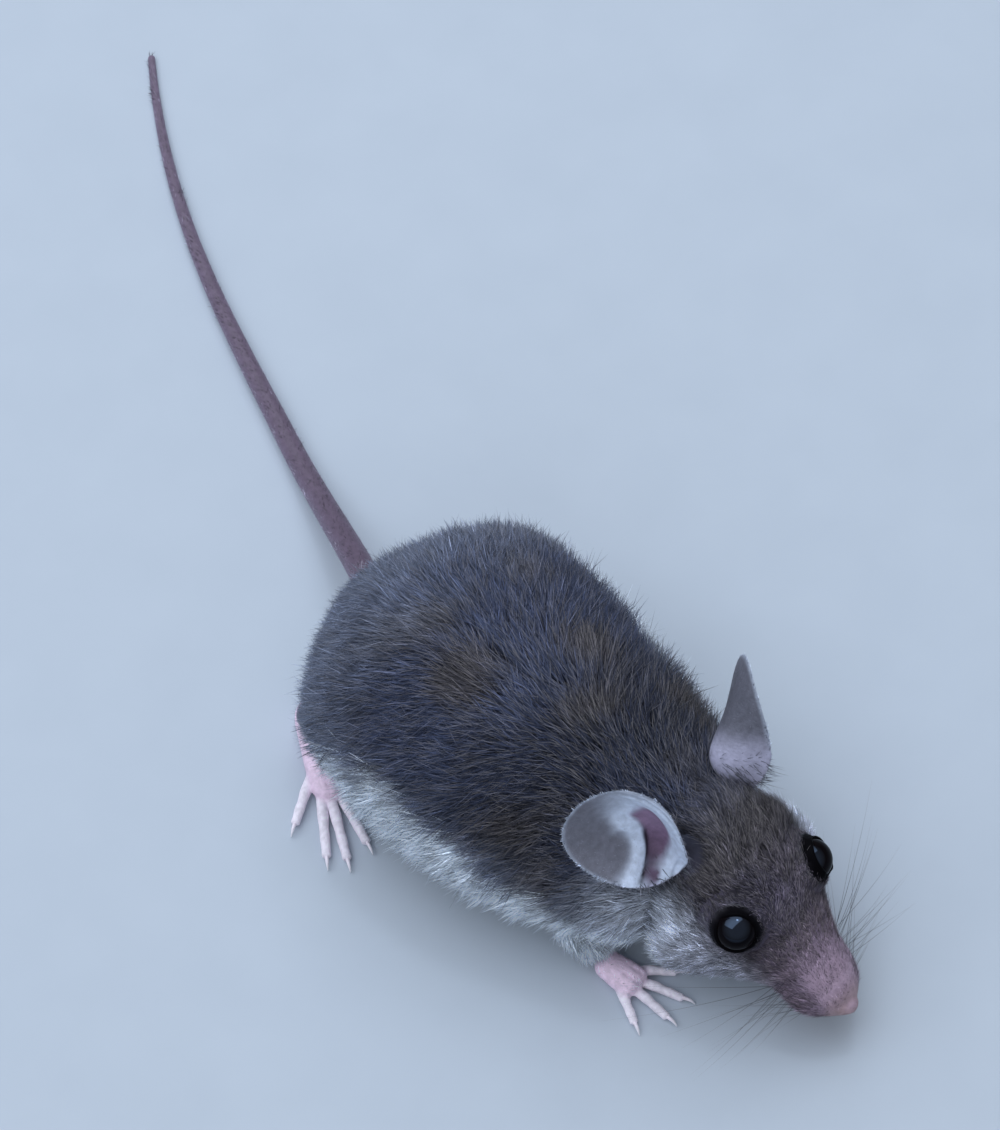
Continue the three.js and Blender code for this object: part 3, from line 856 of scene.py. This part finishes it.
def skin_colour(s):
    """The colour of the skin: slate under thick fur, and its own where it is bare."""
    t, up, parts = s["t"], np.sin(s["angle"]), parts_of(s)
    h = into_head(s["outline"])
    x, y, z = h.T
    muzzle = painted(
        mix(MAUVE, TIP_TAN, fall(y, 0.5, 3.0)),
        (HEAD_MAUVE, rise(y, 3, 11)),
        (HEAD_MAUVE, 0.6 * whisker_pads(h)),
    )
    under_eye = hill(y - 16, 4) * hill(np.abs(x) - 6.5, 3)
    tail_tone = mix(TAIL_MAUVE, TAIL_PALE, np.clip(0.3 * t + 0.55 * (1 - up), 0, 1))
    tone = painted(
        coat_colour(s),
        (UNDER_FUR, 0.6),
        (muzzle, parts["head"] * fall(y, 9, 13)),
        (LIP, parts["head"] * hill(y - 1.2, 1.6) * rise(-z, 0.3, 1.1)),
        (HEAD_MAUVE, parts["head"] * 0.6 * under_eye),
        (mix(LIP, MAUVE, rise(y, 5, 8)), parts["jaw"] * fall(y, 8, 11)),
        (mix(TIP_TAN, MAUVE, rise(z, 0.8, 1.6)), parts["nose"]),
        (LID_DARK, parts["lid"]),
        (tail_tone, parts["tail"]),
        (FOOT_PINK, parts["palm"]),
        (TOE_PALE, parts["toe"]),
        (FOOT_PINK, (parts["arm"] | parts["shank"]) * rise(t, 0.7, 0.95)),
        (LID_DARK, fall(from_eyes(h), 2.5, 3.0)),
    )
    for _, mine, local, inner, _ in ears_of(s):
        tone[mine] = ear_colour(local, np.sin(np.pi * t[mine]), inner)
    return tone


def whisker_pads(h):
    """The furred sides of the muzzle, in the head's frame."""
    return rise(np.abs(h[:, 0]) - 0.6 * h[:, 2], 0.9, 2.6) * rise(h[:, 1], 0.6, 2.4)


def ear_colour(local, rim, inner):
    """The colour of the ear's skin, from places in its own frame and how near they are to its rim."""
    x, z = local[..., 0], local[..., 2]
    canal, shadow, pale, ridge, fold, down = ear_marks(x, z)
    plate = mix(EAR_GREY, EAR_PALE, 0.55 * rise(rim, 0.93, 1.0))
    face = painted(
        plate,
        # pale skin, partly a painted highlight on the ridge and the folds
        (EAR_PALE, np.clip(0.95 * pale + ridge + 0.8 * fold, 0, 1)),
        # painted shade: the canal darker lower down, where it goes into the head, and the painted shadow under
        # the ridge's lip
        (mix(CANAL_MAUVE, CANAL_PAINTED_SHADE, 0.5 * rise(down, 0.5, 0.95)), canal),
        (CANAL_PAINTED_SHADE, shadow),
    )
    shell = painted(plate, (DARK, 0.35), (EAR_BASE, fall(z, 3.4, 7.0)))
    base = fall(z, 1.2, 2.6) * (1 - inner * np.maximum(canal, shadow))
    return mix(mix(shell, face, inner), mix(EAR_BASE, EAR_PALE, inner), base)


# -------- how the coat grows

DARK_HAIRS = {RIGHT: 0.008, LEFT: 0.14}  # the few long hairs across the pale base of each ear, as a share
EAR_BASE_LIE = np.array([0.3, -1.0, 0.0])


def head_hair(p, up):
    """The length, lift and density of the head's tufts: short by the eyes and ears, longest at the nape."""
    h = into_head(p)
    behind, pads = rise(h[:, 1], 3, 10), whisker_pads(h)
    length = between([0, 3, 7, 12, 17, 23, 29], [0.5, 0.8, 1.0, 1.35, 2.0, 2.9, 3.6], h[:, 1])
    length = length * lerp(1.35, 1, rise(up, -0.5, 0.3)) * lerp(0.5, 1, rise(from_eyes(h), 2.3, 4.2))
    length = length * lerp(0.22, 1, rise(from_ear_mouths(p), 2.0, 5.5)) * lerp(1 + 0.5 * pads, 1, behind)
    return length, lerp(0.2, 0.34, behind), lerp(lerp(21, 29, pads), 29, behind)


def coat_fields(s):
    """The length, lift and density of the tufts at the source points, in millimetres and radians."""
    p, t, up, parts = s["outline"], s["t"], np.sin(s["angle"]), parts_of(s)
    long_body = between([12, 20, 30, 45, 58, 64], [2.6, 3.3, 3.8, 3.7, 3.0, 2.0], p[:, 1])
    fields = {  # length, lift, density
        "trunk": (lerp(0.68, 1, rise(up, -0.9, 0.1)) * long_body, 0.36, lerp(6, 13, rise(up, -0.8, -0.35))),
        "head": head_hair(p, up),
        "jaw": (0.8, 0.3, 16),
        "nose": (0.25, 0.5, 6),
        "lid": (0.3, 0.5, 0),
        "tail": (0.9, 0.16, 4.5),
        "ear": (0.4, 0.4, 9),
        "arm": (lerp(3.2, 1.3, t), 0.3, 20),
        "shank": (lerp(2.0, 0.7, t), 0.26, 18),
        "thigh": (2.8, 0.3, 14),
        "palm": (0.6, 0.16, 12),
        "toe": (0.35, 0.25, 5),
    }
    length, lift, density = (
        sum(np.where(parts[name], row[column], 0) for name, row in fields.items()) for column in range(3))
    length = length * lerp(0.3, 1, rise(from_hind_feet(p), 3.4, 7.5))
    density = density * rise(from_ear_mouths(p), 2.8, 4.0)
    for side, mine, local, inner, outer in ears_of(s):
        length[mine], lift[mine], density[mine] = ear_hair(side, local, inner, outer)
    return length, lift, density


def ear_hair(side, local, inner, outer):
    """The length, lift and density of hair on an ear: hardly any in its canal, and a few long ones behind."""
    z = local[:, 2]
    canal, _, pale, *_ = ear_marks(local[:, 0], z)
    clear = inner * np.maximum(0.97 * canal, fall(z, 2.6, 4.0))
    root = outer * fall(z, 3.0, 4.4)
    bare = lerp(1, DARK_HAIRS[side], outer * fall(z, 4.8, 6.4))
    return lerp(0.26, 2.4, root), lerp(0.4, 0.16, root), 9 * (1 - clear) * (1 - 0.6 * pale * inner) * bare


def from_hind_feet(p):
    """How far points are from the bare middle of the nearer hind foot."""
    spots = [
        [x + side * ahead * math.sin(turn), y - ahead * math.cos(turn), 2.5]
        for side, (x, y, turn) in ANKLE.items() for ahead in (1, 4, 7)]
    return np.min([sizes(p - spot) for spot in spots], axis=0)


def lie_of_coat(s):
    """The way the hair lies: to the tail, down on the flanks, down the limbs, and outward on the ears."""
    p, flow, out, parts = s["outline"], s["flow"].copy(), np.cos(s["angle"]), parts_of(s)
    lean = rise(np.abs(out), 0.0, 0.5) * np.sign(out)
    lean = lean * lerp(0.35, 1.0, rise(p[:, 1], 20, 30)) * (parts["trunk"] | parts["thigh"])
    flow -= 0.95 * lean[:, None] * s["around"]
    for side, mine, local, _, outer in ears_of(s):
        away = unit(p[mine] - from_head(EAR_ROOT[side], side))
        flow[mine] = mix(away, EAR_BASE_LIE, outer * fall(local[:, 2], 3.0, 4.4))
    return unit(along_surface(flow, s["normals"]))


# The columns of the fields, and how often and how much the seams and the fields across them are smoothed.
FLOW, LENGTH, LIFT, DENSITY, COAT, SKIN = slice(0, 3), 3, 4, 5, slice(6, 9), slice(9, 12)
SEAM_ROUNDS, FIELD_ROUNDS, SMOOTHING = 24, 30, 0.6


def blended_skin():
    """The united skin with its seams smoothed, and the fields of the coat and the colours at its points."""
    points, triangles = unite(forms)
    index, gap = nearest(source["points"], points)
    neighbours = Neighbours(len(points), triangles)
    on_seam = np.nonzero(gap > 1e-4)[0]
    blend = source["blend"][index]
    tight = np.minimum.reduceat(blend[neighbours.others], neighbours.starts)
    seam, distance = nearest(points[on_seam], points)
    reach = np.minimum(blend, tight[on_seam][seam])
    share = SMOOTHING * fall(distance, 0.35 * reach, reach)
    points = neighbours.relax(points, share, SEAM_ROUNDS)
    fields = np.c_[lie_of_coat(source), *coat_fields(source), coat_colour(source), skin_colour(source)][index]
    soft = SMOOTHING * fall(distance, 0.5 * reach, 1.2 * reach)
    fields = neighbours.relax(fields, soft, FIELD_ROUNDS)
    return points, triangles, index, fields


points, triangles, source_index, fields = blended_skin()
normals = normals_of(points, triangles)


class Tufts:
    """Thin closed spikes along the lie of the coat: rings of three points each, and a tip."""

    def __init__(self, layer):
        self.layer, self.face = layer, self.scattered(layer)
        count = len(self.face)
        u, v = rng.random(count), rng.random(count)
        over = u + v > 1
        u[over], v[over] = 1 - u[over], 1 - v[over]
        weights = np.stack([1 - u - v, u, v], 1)
        self.root, normal, self.field = (
            (each[triangles[self.face]] * weights[..., None]).sum(1) for each in (points, normals, fields))
        self.normal = unit(normal)
        self.place = self.unwrap(weights)
        first = source_index[triangles[self.face, 0]]
        self.form, self.angle = source["form"][first], source["angle"][first]

    @staticmethod
    def scattered(layer):
        """A face of the skin for each tuft, none at the eyes or the floor. Stray hairs keep to the dark."""
        corners, at_corners = points[triangles], fields[triangles]
        areas = sizes(np.cross(corners[:, 1] - corners[:, 0], corners[:, 2] - corners[:, 0])) / 2
        density = at_corners[:, :, DENSITY].mean(1) * layer["density"]
        density *= rise(from_eyes(into_head(corners.mean(1))), 2.35, 2.7)
        density *= rise(corners[:, :, 2].mean(1), 0.3, 0.9)
        if layer["stray"]:
            density *= fall(at_corners[:, :, COAT].mean((1, 2)), 0.25, 0.4)
        total = np.cumsum(areas * density)
        count = int(total[-1])
        face = np.searchsorted(total, (np.arange(count) + rng.random(count)) * total[-1] / count)
        return np.clip(face, 0, len(triangles) - 1)

    def unwrap(self, weights):
        """Where each root is on its form's own unwrap: once round it, and along it."""
        corner = source_index[triangles[self.face]]
        same = (source["piece"][corner] == source["piece"][corner[:, :1]])
        turn = source["angle"][corner] - source["angle"][corner[:, :1]]
        turn = np.where(same, (turn + np.pi) % (2 * np.pi) - np.pi, 0)
        along = np.where(same, source["t"][corner], source["t"][corner[:, :1]])
        around = (source["angle"][corner[:, 0]] + (turn * weights).sum(1)) / (2 * np.pi)
        return np.stack([around % 1, (along * weights).sum(1)], 1)


STATIONS = {1: np.array([0.0]), 2: np.array([0.0, 0.55])}  # where a tuft has its rings, by their number
CORNERS = np.array([[1.0, -0.25], [-1.0, -0.25], [0.0, 0.35]])  # across and out, in half widths
PATCH, LOWEST_TIP, ROOT_DEPTH, HAIR_SPREAD = 0.003, 0.2, 0.12, (0.7, 1.25)


def spikes(root, forward, out, length, width, rings, curve):
    """Points and triangles of many spikes, with each point's share of the length and place across."""
    count = len(root)
    across = unit(np.cross(forward, out))
    stations = STATIONS[rings]
    half = (width / 2)[:, None] * (1 - 0.45 * stations**2)
    spine = root[:, None] + forward[:, None] * (length[:, None] * stations)[..., None]
    spine = spine - out[:, None] * (curve * length[:, None] * stations**2)[..., None]
    ring = (
        spine[:, :, None]
        + across[:, None, None] * (half[..., None] * CORNERS[:, 0])[..., None]
        + out[:, None, None] * (half[..., None] * CORNERS[:, 1])[..., None]
    )
    tip = root + forward * length[:, None] - out * (curve * length)[:, None]
    made = np.concatenate([ring.reshape(count, 3 * rings, 3), tip[:, None]], 1)
    each = 3 * rings + 1
    faces = [(0, 2, 1)]
    for low in range(0, 3 * (rings - 1), 3):
        for a, b in ((0, 1), (1, 2), (2, 0)):
            faces += [(low + a, low + b, low + 3 + b), (low + a, low + 3 + b, low + 3 + a)]
    top = 3 * (rings - 1)
    faces += [(top, top + 1, each - 1), (top + 1, top + 2, each - 1), (top + 2, top, each - 1)]
    triangles = (np.arange(count)[:, None, None] * each + np.array(faces)).reshape(-1, 3)
    shares = np.append(np.repeat(stations, 3), 1)
    lateral = np.append(np.tile([1, -1, 0], rings), 0)
    bump = np.append(np.tile([0, 0, 0.12], rings), 0)
    return made.reshape(-1, 3), triangles, shares, lateral, bump


# The undercoat is straight spikes that fill the coat. The guard hairs over it bend, and stray hairs with pale
# tips stand out of the dark part of the coat.
LAYERS = [
    {"density": 2.6, "length": 0.82, "width": 1.05, "lift": 1.1, "rings": 1, "ticks": 0.2, "curve": 0.0,
     "stray": False},
    {"density": 0.7, "length": 1.12, "width": 0.75, "lift": 0.95, "rings": 2, "ticks": 0.4, "curve": 0.16,
     "stray": False},
    {"density": 0.16, "length": 1.25, "width": 0.5, "lift": 1.25, "rings": 2, "ticks": 1.0, "curve": 0.14,
     "stray": True},
]


def aimed(layer, p, field, normal, length):
    """The way each hair points: along the lie of the coat, lifted and swayed, and drawn into locks."""
    flow = unit(along_surface(field[:, FLOW], normal))
    lift = np.clip(layer["lift"] * field[:, LIFT] * (1 + 0.35 * rng.normal(size=len(p))), 0.05, 1.2)
    sway = 0.3 * rng.normal(size=len(p)) + 0.26 * ripple(p, 3.0, 31)
    ahead, aside = np.cos(lift) * np.cos(sway), np.cos(lift) * np.sin(sway)
    forward = flow * ahead[:, None] + np.cross(flow, normal) * aside[:, None]
    forward = unit(forward + normal * np.sin(lift)[:, None])
    forward = unit(forward - 0.26 * along_surface(ripple_slope(p, 1.9, 32), normal))
    forward[:, 2] = np.maximum(forward[:, 2], (LOWEST_TIP - p[:, 2]) / length)
    return forward


def hair_tones(layer, p, form, coat, shares):
    """The tone of each point of the hairs, from a dark root to a lighter tip, with some tips ticked; the dark
    root is partly the slate undercoat and partly painted shade deep in the coat.
    """
    contrast = np.where(in_forms(form, "head", "jaw"), 0.54, 0.38)
    shade = np.exp(contrast * rng.normal(size=len(p)) + 0.3 * ripple(p, 1.3, 33))[:, None]
    body = coat * shade
    tick = (rng.random(len(p)) < layer["ticks"])[:, None]
    tip = np.where(tick, mix(body * 2.2, TICK, 0.42), body * 1.35)
    # darker roots: partly the slate undercoat, partly painted shade deep in the coat; less so on the thin fuzz
    root = body * np.where(in_forms(form, "palm", "toe", "ear", "tail"), 0.85, 0.42)[:, None]
    return np.stack([lerp(root, tip, share) for share in shares**2], 1).reshape(-1, 3)


def grow(tufts, keep):
    """The points, faces, tones and unwrap of one layer's hair, where keep says."""
    layer, pick = tufts.layer, np.nonzero(keep)[0]
    field, p, normal, place = tufts.field[pick], tufts.root[pick], tufts.normal[pick], tufts.place[pick]
    length = field[:, LENGTH] * layer["length"] * rng.uniform(*HAIR_SPREAD, len(pick))
    forward = aimed(layer, p, field, normal, length)
    width = layer["width"] * (0.06 + 0.022 * field[:, LENGTH]) * rng.uniform(*HAIR_SPREAD, len(pick))
    made, faces, shares, lateral, bump = spikes(
        p - normal * ROOT_DEPTH, forward, normal, length + ROOT_DEPTH, width, layer["rings"], layer["curve"])
    tones = hair_tones(layer, p, tufts.form[pick], field[:, COAT], shares)
    u, v = place[:, :1] + PATCH / 2 * lateral, place[:, 1:] + PATCH * (shares + bump)
    return made, faces, tones, np.stack([u, v], -1).reshape(-1, 2)


def make_hair(name, layers, keeps, slot, material):
    """One piece of the coat, with hair of every layer."""
    grown = [grow(tufts, keep) for tufts, keep in zip(layers, keeps)]
    starts = np.cumsum([0] + [len(made) for made, *_ in grown])
    made, tones, places = (np.vstack([each[k] for each in grown]) for k in (0, 2, 3))
    faces = np.vstack([each[1] + start for each, start in zip(grown, starts)])
    piece = make_piece(name, made, faces, slot, material, tones)
    write(piece.data.uv_layers.new(name="OFBake").data, "uv", places[faces.ravel()])


# -------- materials

def feed(tree, node, inputs):
    """Sets a node's inputs, each to a value or to the output of another node."""
    for name, value in inputs.items():
        if isinstance(value, bpy.types.NodeSocket):
            tree.links.new(value, node.inputs[name])
        else:
            node.inputs[name].default_value = value


def new_node(tree, kind, inputs, **settings):
    """The outputs of a new node."""
    made = tree.nodes.new("ShaderNode" + kind)
    for name, value in settings.items():
        setattr(made, name, value)
    feed(tree, made, inputs)
    return made.outputs


def new_material(name, roughness, specular=0.5):
    made = bpy.data.materials.new(name)
    made.use_nodes = True
    shader = made.node_tree.nodes["Principled BSDF"]
    feed(made.node_tree, shader, {"Roughness": roughness, "Specular IOR Level": specular})
    return made, made.node_tree, shader


def noise(tree, scale):
    """Noise in the piece's own space, with swells about 1 / scale metres across."""
    place = new_node(tree, "TexCoord", {})["Object"]
    return new_node(tree, "TexNoise", {"Scale": scale, "Detail": 3.0, "Vector": place})["Fac"]


def ranged(tree, value, low, high, start=0.3, end=0.7):
    return new_node(tree, "MapRange", {
        "From Min": start, "From Max": end, "To Min": low, "To Max": high, "Value": value})["Result"]


def clouded(tree, low, high, scale):
    """A colour that noise moves between two others."""
    ramp = tree.nodes.new("ShaderNodeValToRGB")
    for element, tone in zip(ramp.color_ramp.elements, (low, high)):
        element.color = (*tone, 1)
    feed(tree, ramp, {"Fac": noise(tree, scale)})
    return ramp.outputs["Color"]


def toned_material(name, roughness, specular, scale, mottles, bump=0.0, dull_blacks=None):
    """A surface in its points' tones, mottled by noise. Its gloss fades out over the range of dull blacks."""
    made, tree, shader = new_material(name, roughness, specular)
    amount = ranged(tree, noise(tree, scale), *mottles)
    tone = new_node(tree, "Attribute", {}, attribute_name="tone")
    mottled = new_node(tree, "VectorMath", {"Vector": tone["Color"], "Scale": amount}, operation="SCALE")
    feed(tree, shader, {"Base Color": mottled["Vector"]})
    if dull_blacks:
        gloss = ranged(tree, tone["Fac"], 0.04 * specular, specular, *dull_blacks)
        feed(tree, shader, {"Specular IOR Level": gloss})
    if bump:
        height = noise(tree, scale * 2.5)
        relief = new_node(tree, "Bump", {"Distance": bump, "Strength": 1.0, "Height": height})
        feed(tree, shader, {"Normal": relief["Normal"]})
    return made


coat_material = toned_material("fur", 0.62, 0.35, 900, (0.88, 1.12))
skin_material = toned_material(
    "bare_skin", 0.5, 0.4, 1600, (0.86, 1.14), bump=0.00006, dull_blacks=(0.004, 0.02))
horn_material = toned_material("horn", 0.35, 0.5, 2500, (0.9, 1.1))
whisker_material = toned_material("whisker_hair", 0.4, 0.5, 400, (0.9, 1.1))


def eye_surface():
    """Almost black, with a trace of brown that clouds it, under a wet surface."""
    made, tree, shader = new_material("wet_eye", 0.03)
    edge = new_node(tree, "LayerWeight", {})["Facing"]
    feed(tree, shader, {
        "Specular IOR Level": ranged(tree, edge, 0.85, 0.03, 0.06, 0.26),
        "Specular Tint": (0.5, 0.68, 1.0, 1),
        "Base Color": clouded(tree, (0.0015, 0.0012, 0.0015), (0.006, 0.004, 0.005), 600),
    })
    return made


# -------- the pieces

FLESH = [
    "nose", "lower_jaw", "ear_right", "ear_left", "head", "neck", "chest", "belly", "rump",
    "fore_leg_right", "fore_leg_left", "forepaw_right", "forepaw_left",
    "hind_leg_right", "hind_leg_left", "hind_foot_right", "hind_foot_left",
    "tail_base", "tail_middle", "tail_tip",
]
skin = make_piece("skin", points, triangles, "foot_skin", skin_material, fields[:, SKIN])
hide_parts(*FLESH)


def make_eyes():
    """Each eye is a smooth wet ball in the place of its solid."""
    material = eye_surface()
    for side, name in zip(SIDES, ("right", "left")):
        ball = Form("ball", bead(EYE_AT * MIRROR[side], np.full(3, EYE_RADIUS)), 49, 64)
        eye = make_piece(f"eyeball_{name}", ball.points, ball.triangles, "eye", material)
        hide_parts(f"eye_{name}")


def joined(forms):
    """Many forms as the points and triangles of one mesh."""
    starts = np.cumsum([0] + [len(form.points) for form in forms])
    return np.vstack([form.points for form in forms]), np.vstack([
        form.triangles + start for form, start in zip(forms, starts)])


def make_claws():
    forms = [Form("claw", claw, 16, 12) for side in SIDES for paw in paws(side) for claw in claws(*paw, side)]
    t = np.concatenate([form.t for form in forms])
    tones = mix(colour(244, 230, 240), colour(246, 242, 248), rise(t, 0.2, 0.8))
    make_piece("claws", *joined(forms), "foot_skin", horn_material, tones)


skin_tree = BVHTree.FromPolygons(points.tolist(), triangles.tolist())


def on_skin(local):
    """The place and normal of the skin nearest to a point of the head's frame."""
    place, normal, _, _ = skin_tree.find_nearest(Vector(from_head(np.array(local))))
    return np.array(place), np.array(normal)


WHISKER_ROWS, WHISKERS_IN_ROW, WHISKER_CLEARANCE = 5, 6, 0.4
WHISKER_TAPER = {0: 1, 0.25: 0.85, 0.5: 0.65, 0.75: 0.42, 1: 0.2}  # how thick it is at shares of its length


def whisker_paths():
    """Rows of whiskers on each cheek, longest at the back, that sweep out and back, clear of the floor."""
    for side, row, place in product(SIDES, range(WHISKER_ROWS), range(WHISKERS_IN_ROW)):
        back = place / (WHISKERS_IN_ROW - 1)
        root, normal = on_skin([side * 4, 2.4 + 4.0 * back + 0.3 * (row % 2), 1.4 - 0.75 * row])
        length = lerp(3.5, 15, back) * rng.uniform(0.75, 1.15)
        aim = np.array([side * rng.uniform(0.8, 1.15), rng.uniform(-0.2, 0.85), 0.55 - 0.25 * row])
        aim = unit(from_head(aim) - HEAD_AT + 0.1 * rng.normal(size=3))
        sag = np.array([0, 0.3 * rng.uniform(0.3, 1), -0.1]) * length * 0.5
        aim[2] = max(aim[2], (WHISKER_CLEARANCE - root[2] - sag[2]) / length)
        yield root - normal * 0.1, unit(aim) * length, sag, length


def make_whiskers():
    forms = []
    for root, reach, sag, length in whisker_paths():
        path = [root + reach * share + sag * share**2 for share in WHISKER_TAPER]
        thick = 0.013 + 0.0006 * length
        forms.append(Form("whisker", limb(path, thick * np.array([*WHISKER_TAPER.values()])), 20, 6))
    t = np.concatenate([form.t for form in forms])
    tones = mix(colour(52, 50, 58), colour(160, 160, 168), rise(t, 0.2, 1))
    make_piece("whiskers", *joined(forms), "coat_dark", whisker_material, tones)


MUZZLE_END, CROWN_END, NECK_END, CHEST_END, BACK_END, MIDLINE = 12.5, 20, 25, 38, 46, -5


def regions_of(tufts):
    """For each piece of the coat: its name, its slot and the tufts that belong to it."""
    x, y, _ = tufts.root.T
    back, up = into_head(tufts.root)[:, 1], np.sin(tufts.angle)
    on_head = in_forms(tufts.form, "head", "jaw", "nose", "lid")
    on_trunk = in_forms(tufts.form, "trunk", "thigh")
    below = on_trunk & (up < -0.35)
    flanks = on_trunk & ~below & (up < 0.66) & (y > NECK_END)
    top = on_trunk & ~below & ~flanks
    return [
        ("coat_face", "coat_grey", on_head & (back < MUZZLE_END)),
        ("coat_crown", "coat_brown", on_head & (back >= MUZZLE_END) & (back < CROWN_END)),
        ("coat_nape", "coat_brown", on_head & (back >= CROWN_END)),
        ("coat_neck", "coat_brown", top & (y <= NECK_END)),
        ("coat_back", "coat_dark", top & (y > NECK_END) & (y <= BACK_END)),
        ("coat_rump", "coat_grey", top & (y > BACK_END)),
        ("coat_flank_right", "coat_dark", flanks & (x < MIDLINE)),
        ("coat_flank_left", "coat_dark", flanks & ~(x < MIDLINE)),
        ("coat_chest", "coat_pale", below & (y < CHEST_END)),
        ("coat_belly", "coat_pale", below & ~(y < CHEST_END)),
        ("coat_limbs", "coat_pale", in_forms(tufts.form, "arm", "shank")),
        ("coat_fuzz", "ear_skin", in_forms(tufts.form, "ear", "palm", "toe", "tail")),
    ]


def make_coat():
    layers = [Tufts(layer) for layer in LAYERS]
    for regions in zip(*(regions_of(tufts) for tufts in layers)):
        name, slot, _ = regions[0]
        make_hair(name, layers, [keep for _, _, keep in regions], slot, coat_material)


make_eyes()
make_claws()
make_whiskers()
make_coat()


# -------- floor, light and camera

TARGET = Vector(to_row(np.array([9.78, 59.48, 0.0])))
AZIMUTH, ELEVATION, DISTANCE = math.radians(-41.7), math.radians(60), 0.52
LONG_SIDE, FOCAL_PIXELS, SENSOR = 1130, 5188, 36
BACKWARD = Vector((
    math.sin(AZIMUTH) * math.cos(ELEVATION), -math.cos(AZIMUTH) * math.cos(ELEVATION), math.sin(ELEVATION)))


def make_floor():
    mesh = bpy.data.meshes.new("floor")
    made = bmesh.new()
    bmesh.ops.create_grid(made, x_segments=4, y_segments=4, size=1.5)
    made.to_mesh(mesh)
    made.free()
    floor = make_object("floor", mesh)
    material, tree, shader = new_material("pale_floor", 0.8, 0.2)
    feed(tree, shader, {"Base Color": clouded(tree, (0.49, 0.54, 0.61), (0.53, 0.58, 0.65), 120)})
    mesh.materials.append(material)


def aim_at_target(thing):
    thing.rotation_euler = (TARGET - thing.location).to_track_quat("-Z", "Y").to_euler()


SKY, LAMP_TINT, SKY_STRENGTH = (0.86, 0.92, 1.0, 1), (0.8, 0.89, 1.0), 0.34
LAMPS = {  # where each lamp is, its width and height, and its power, in metres and watts
    "window": ((0.0, 0.35, 0.75), (1.5, 1.0), 8.6),
    "glint": ((0.22, 0.12, 0.8), (0.14, 0.1), 0.5),
    "fill": ((-0.6, -0.5, 0.6), (0.6, 0.6), 1.4),
}


def make_lamps():
    for name, (place, size, power) in LAMPS.items():
        light = bpy.data.lights.new(name, "AREA")
        light.shape, light.energy, light.color = "RECTANGLE", power, LAMP_TINT
        light.size, light.size_y = size
        lamp = make_object(name, light)
        lamp.location = place
        lamp.visible_glossy = name != "fill"
        aim_at_target(lamp)


def make_light_and_camera():
    world = bpy.data.worlds.new("studio")
    world.use_nodes = True
    tree = world.node_tree
    feed(tree, tree.nodes["Background"], {"Color": SKY, "Strength": SKY_STRENGTH})
    bpy.context.scene.world = world
    make_lamps()
    camera = bpy.data.cameras.new("camera")
    camera.sensor_width = SENSOR
    camera.lens = SENSOR * FOCAL_PIXELS / LONG_SIDE
    holder = make_object("camera", camera)
    holder.location = TARGET + BACKWARD * DISTANCE
    aim_at_target(holder)
    bpy.context.scene.camera = holder


make_floor()
make_light_and_camera()
bpy.context.scene.view_settings.view_transform = "Standard"
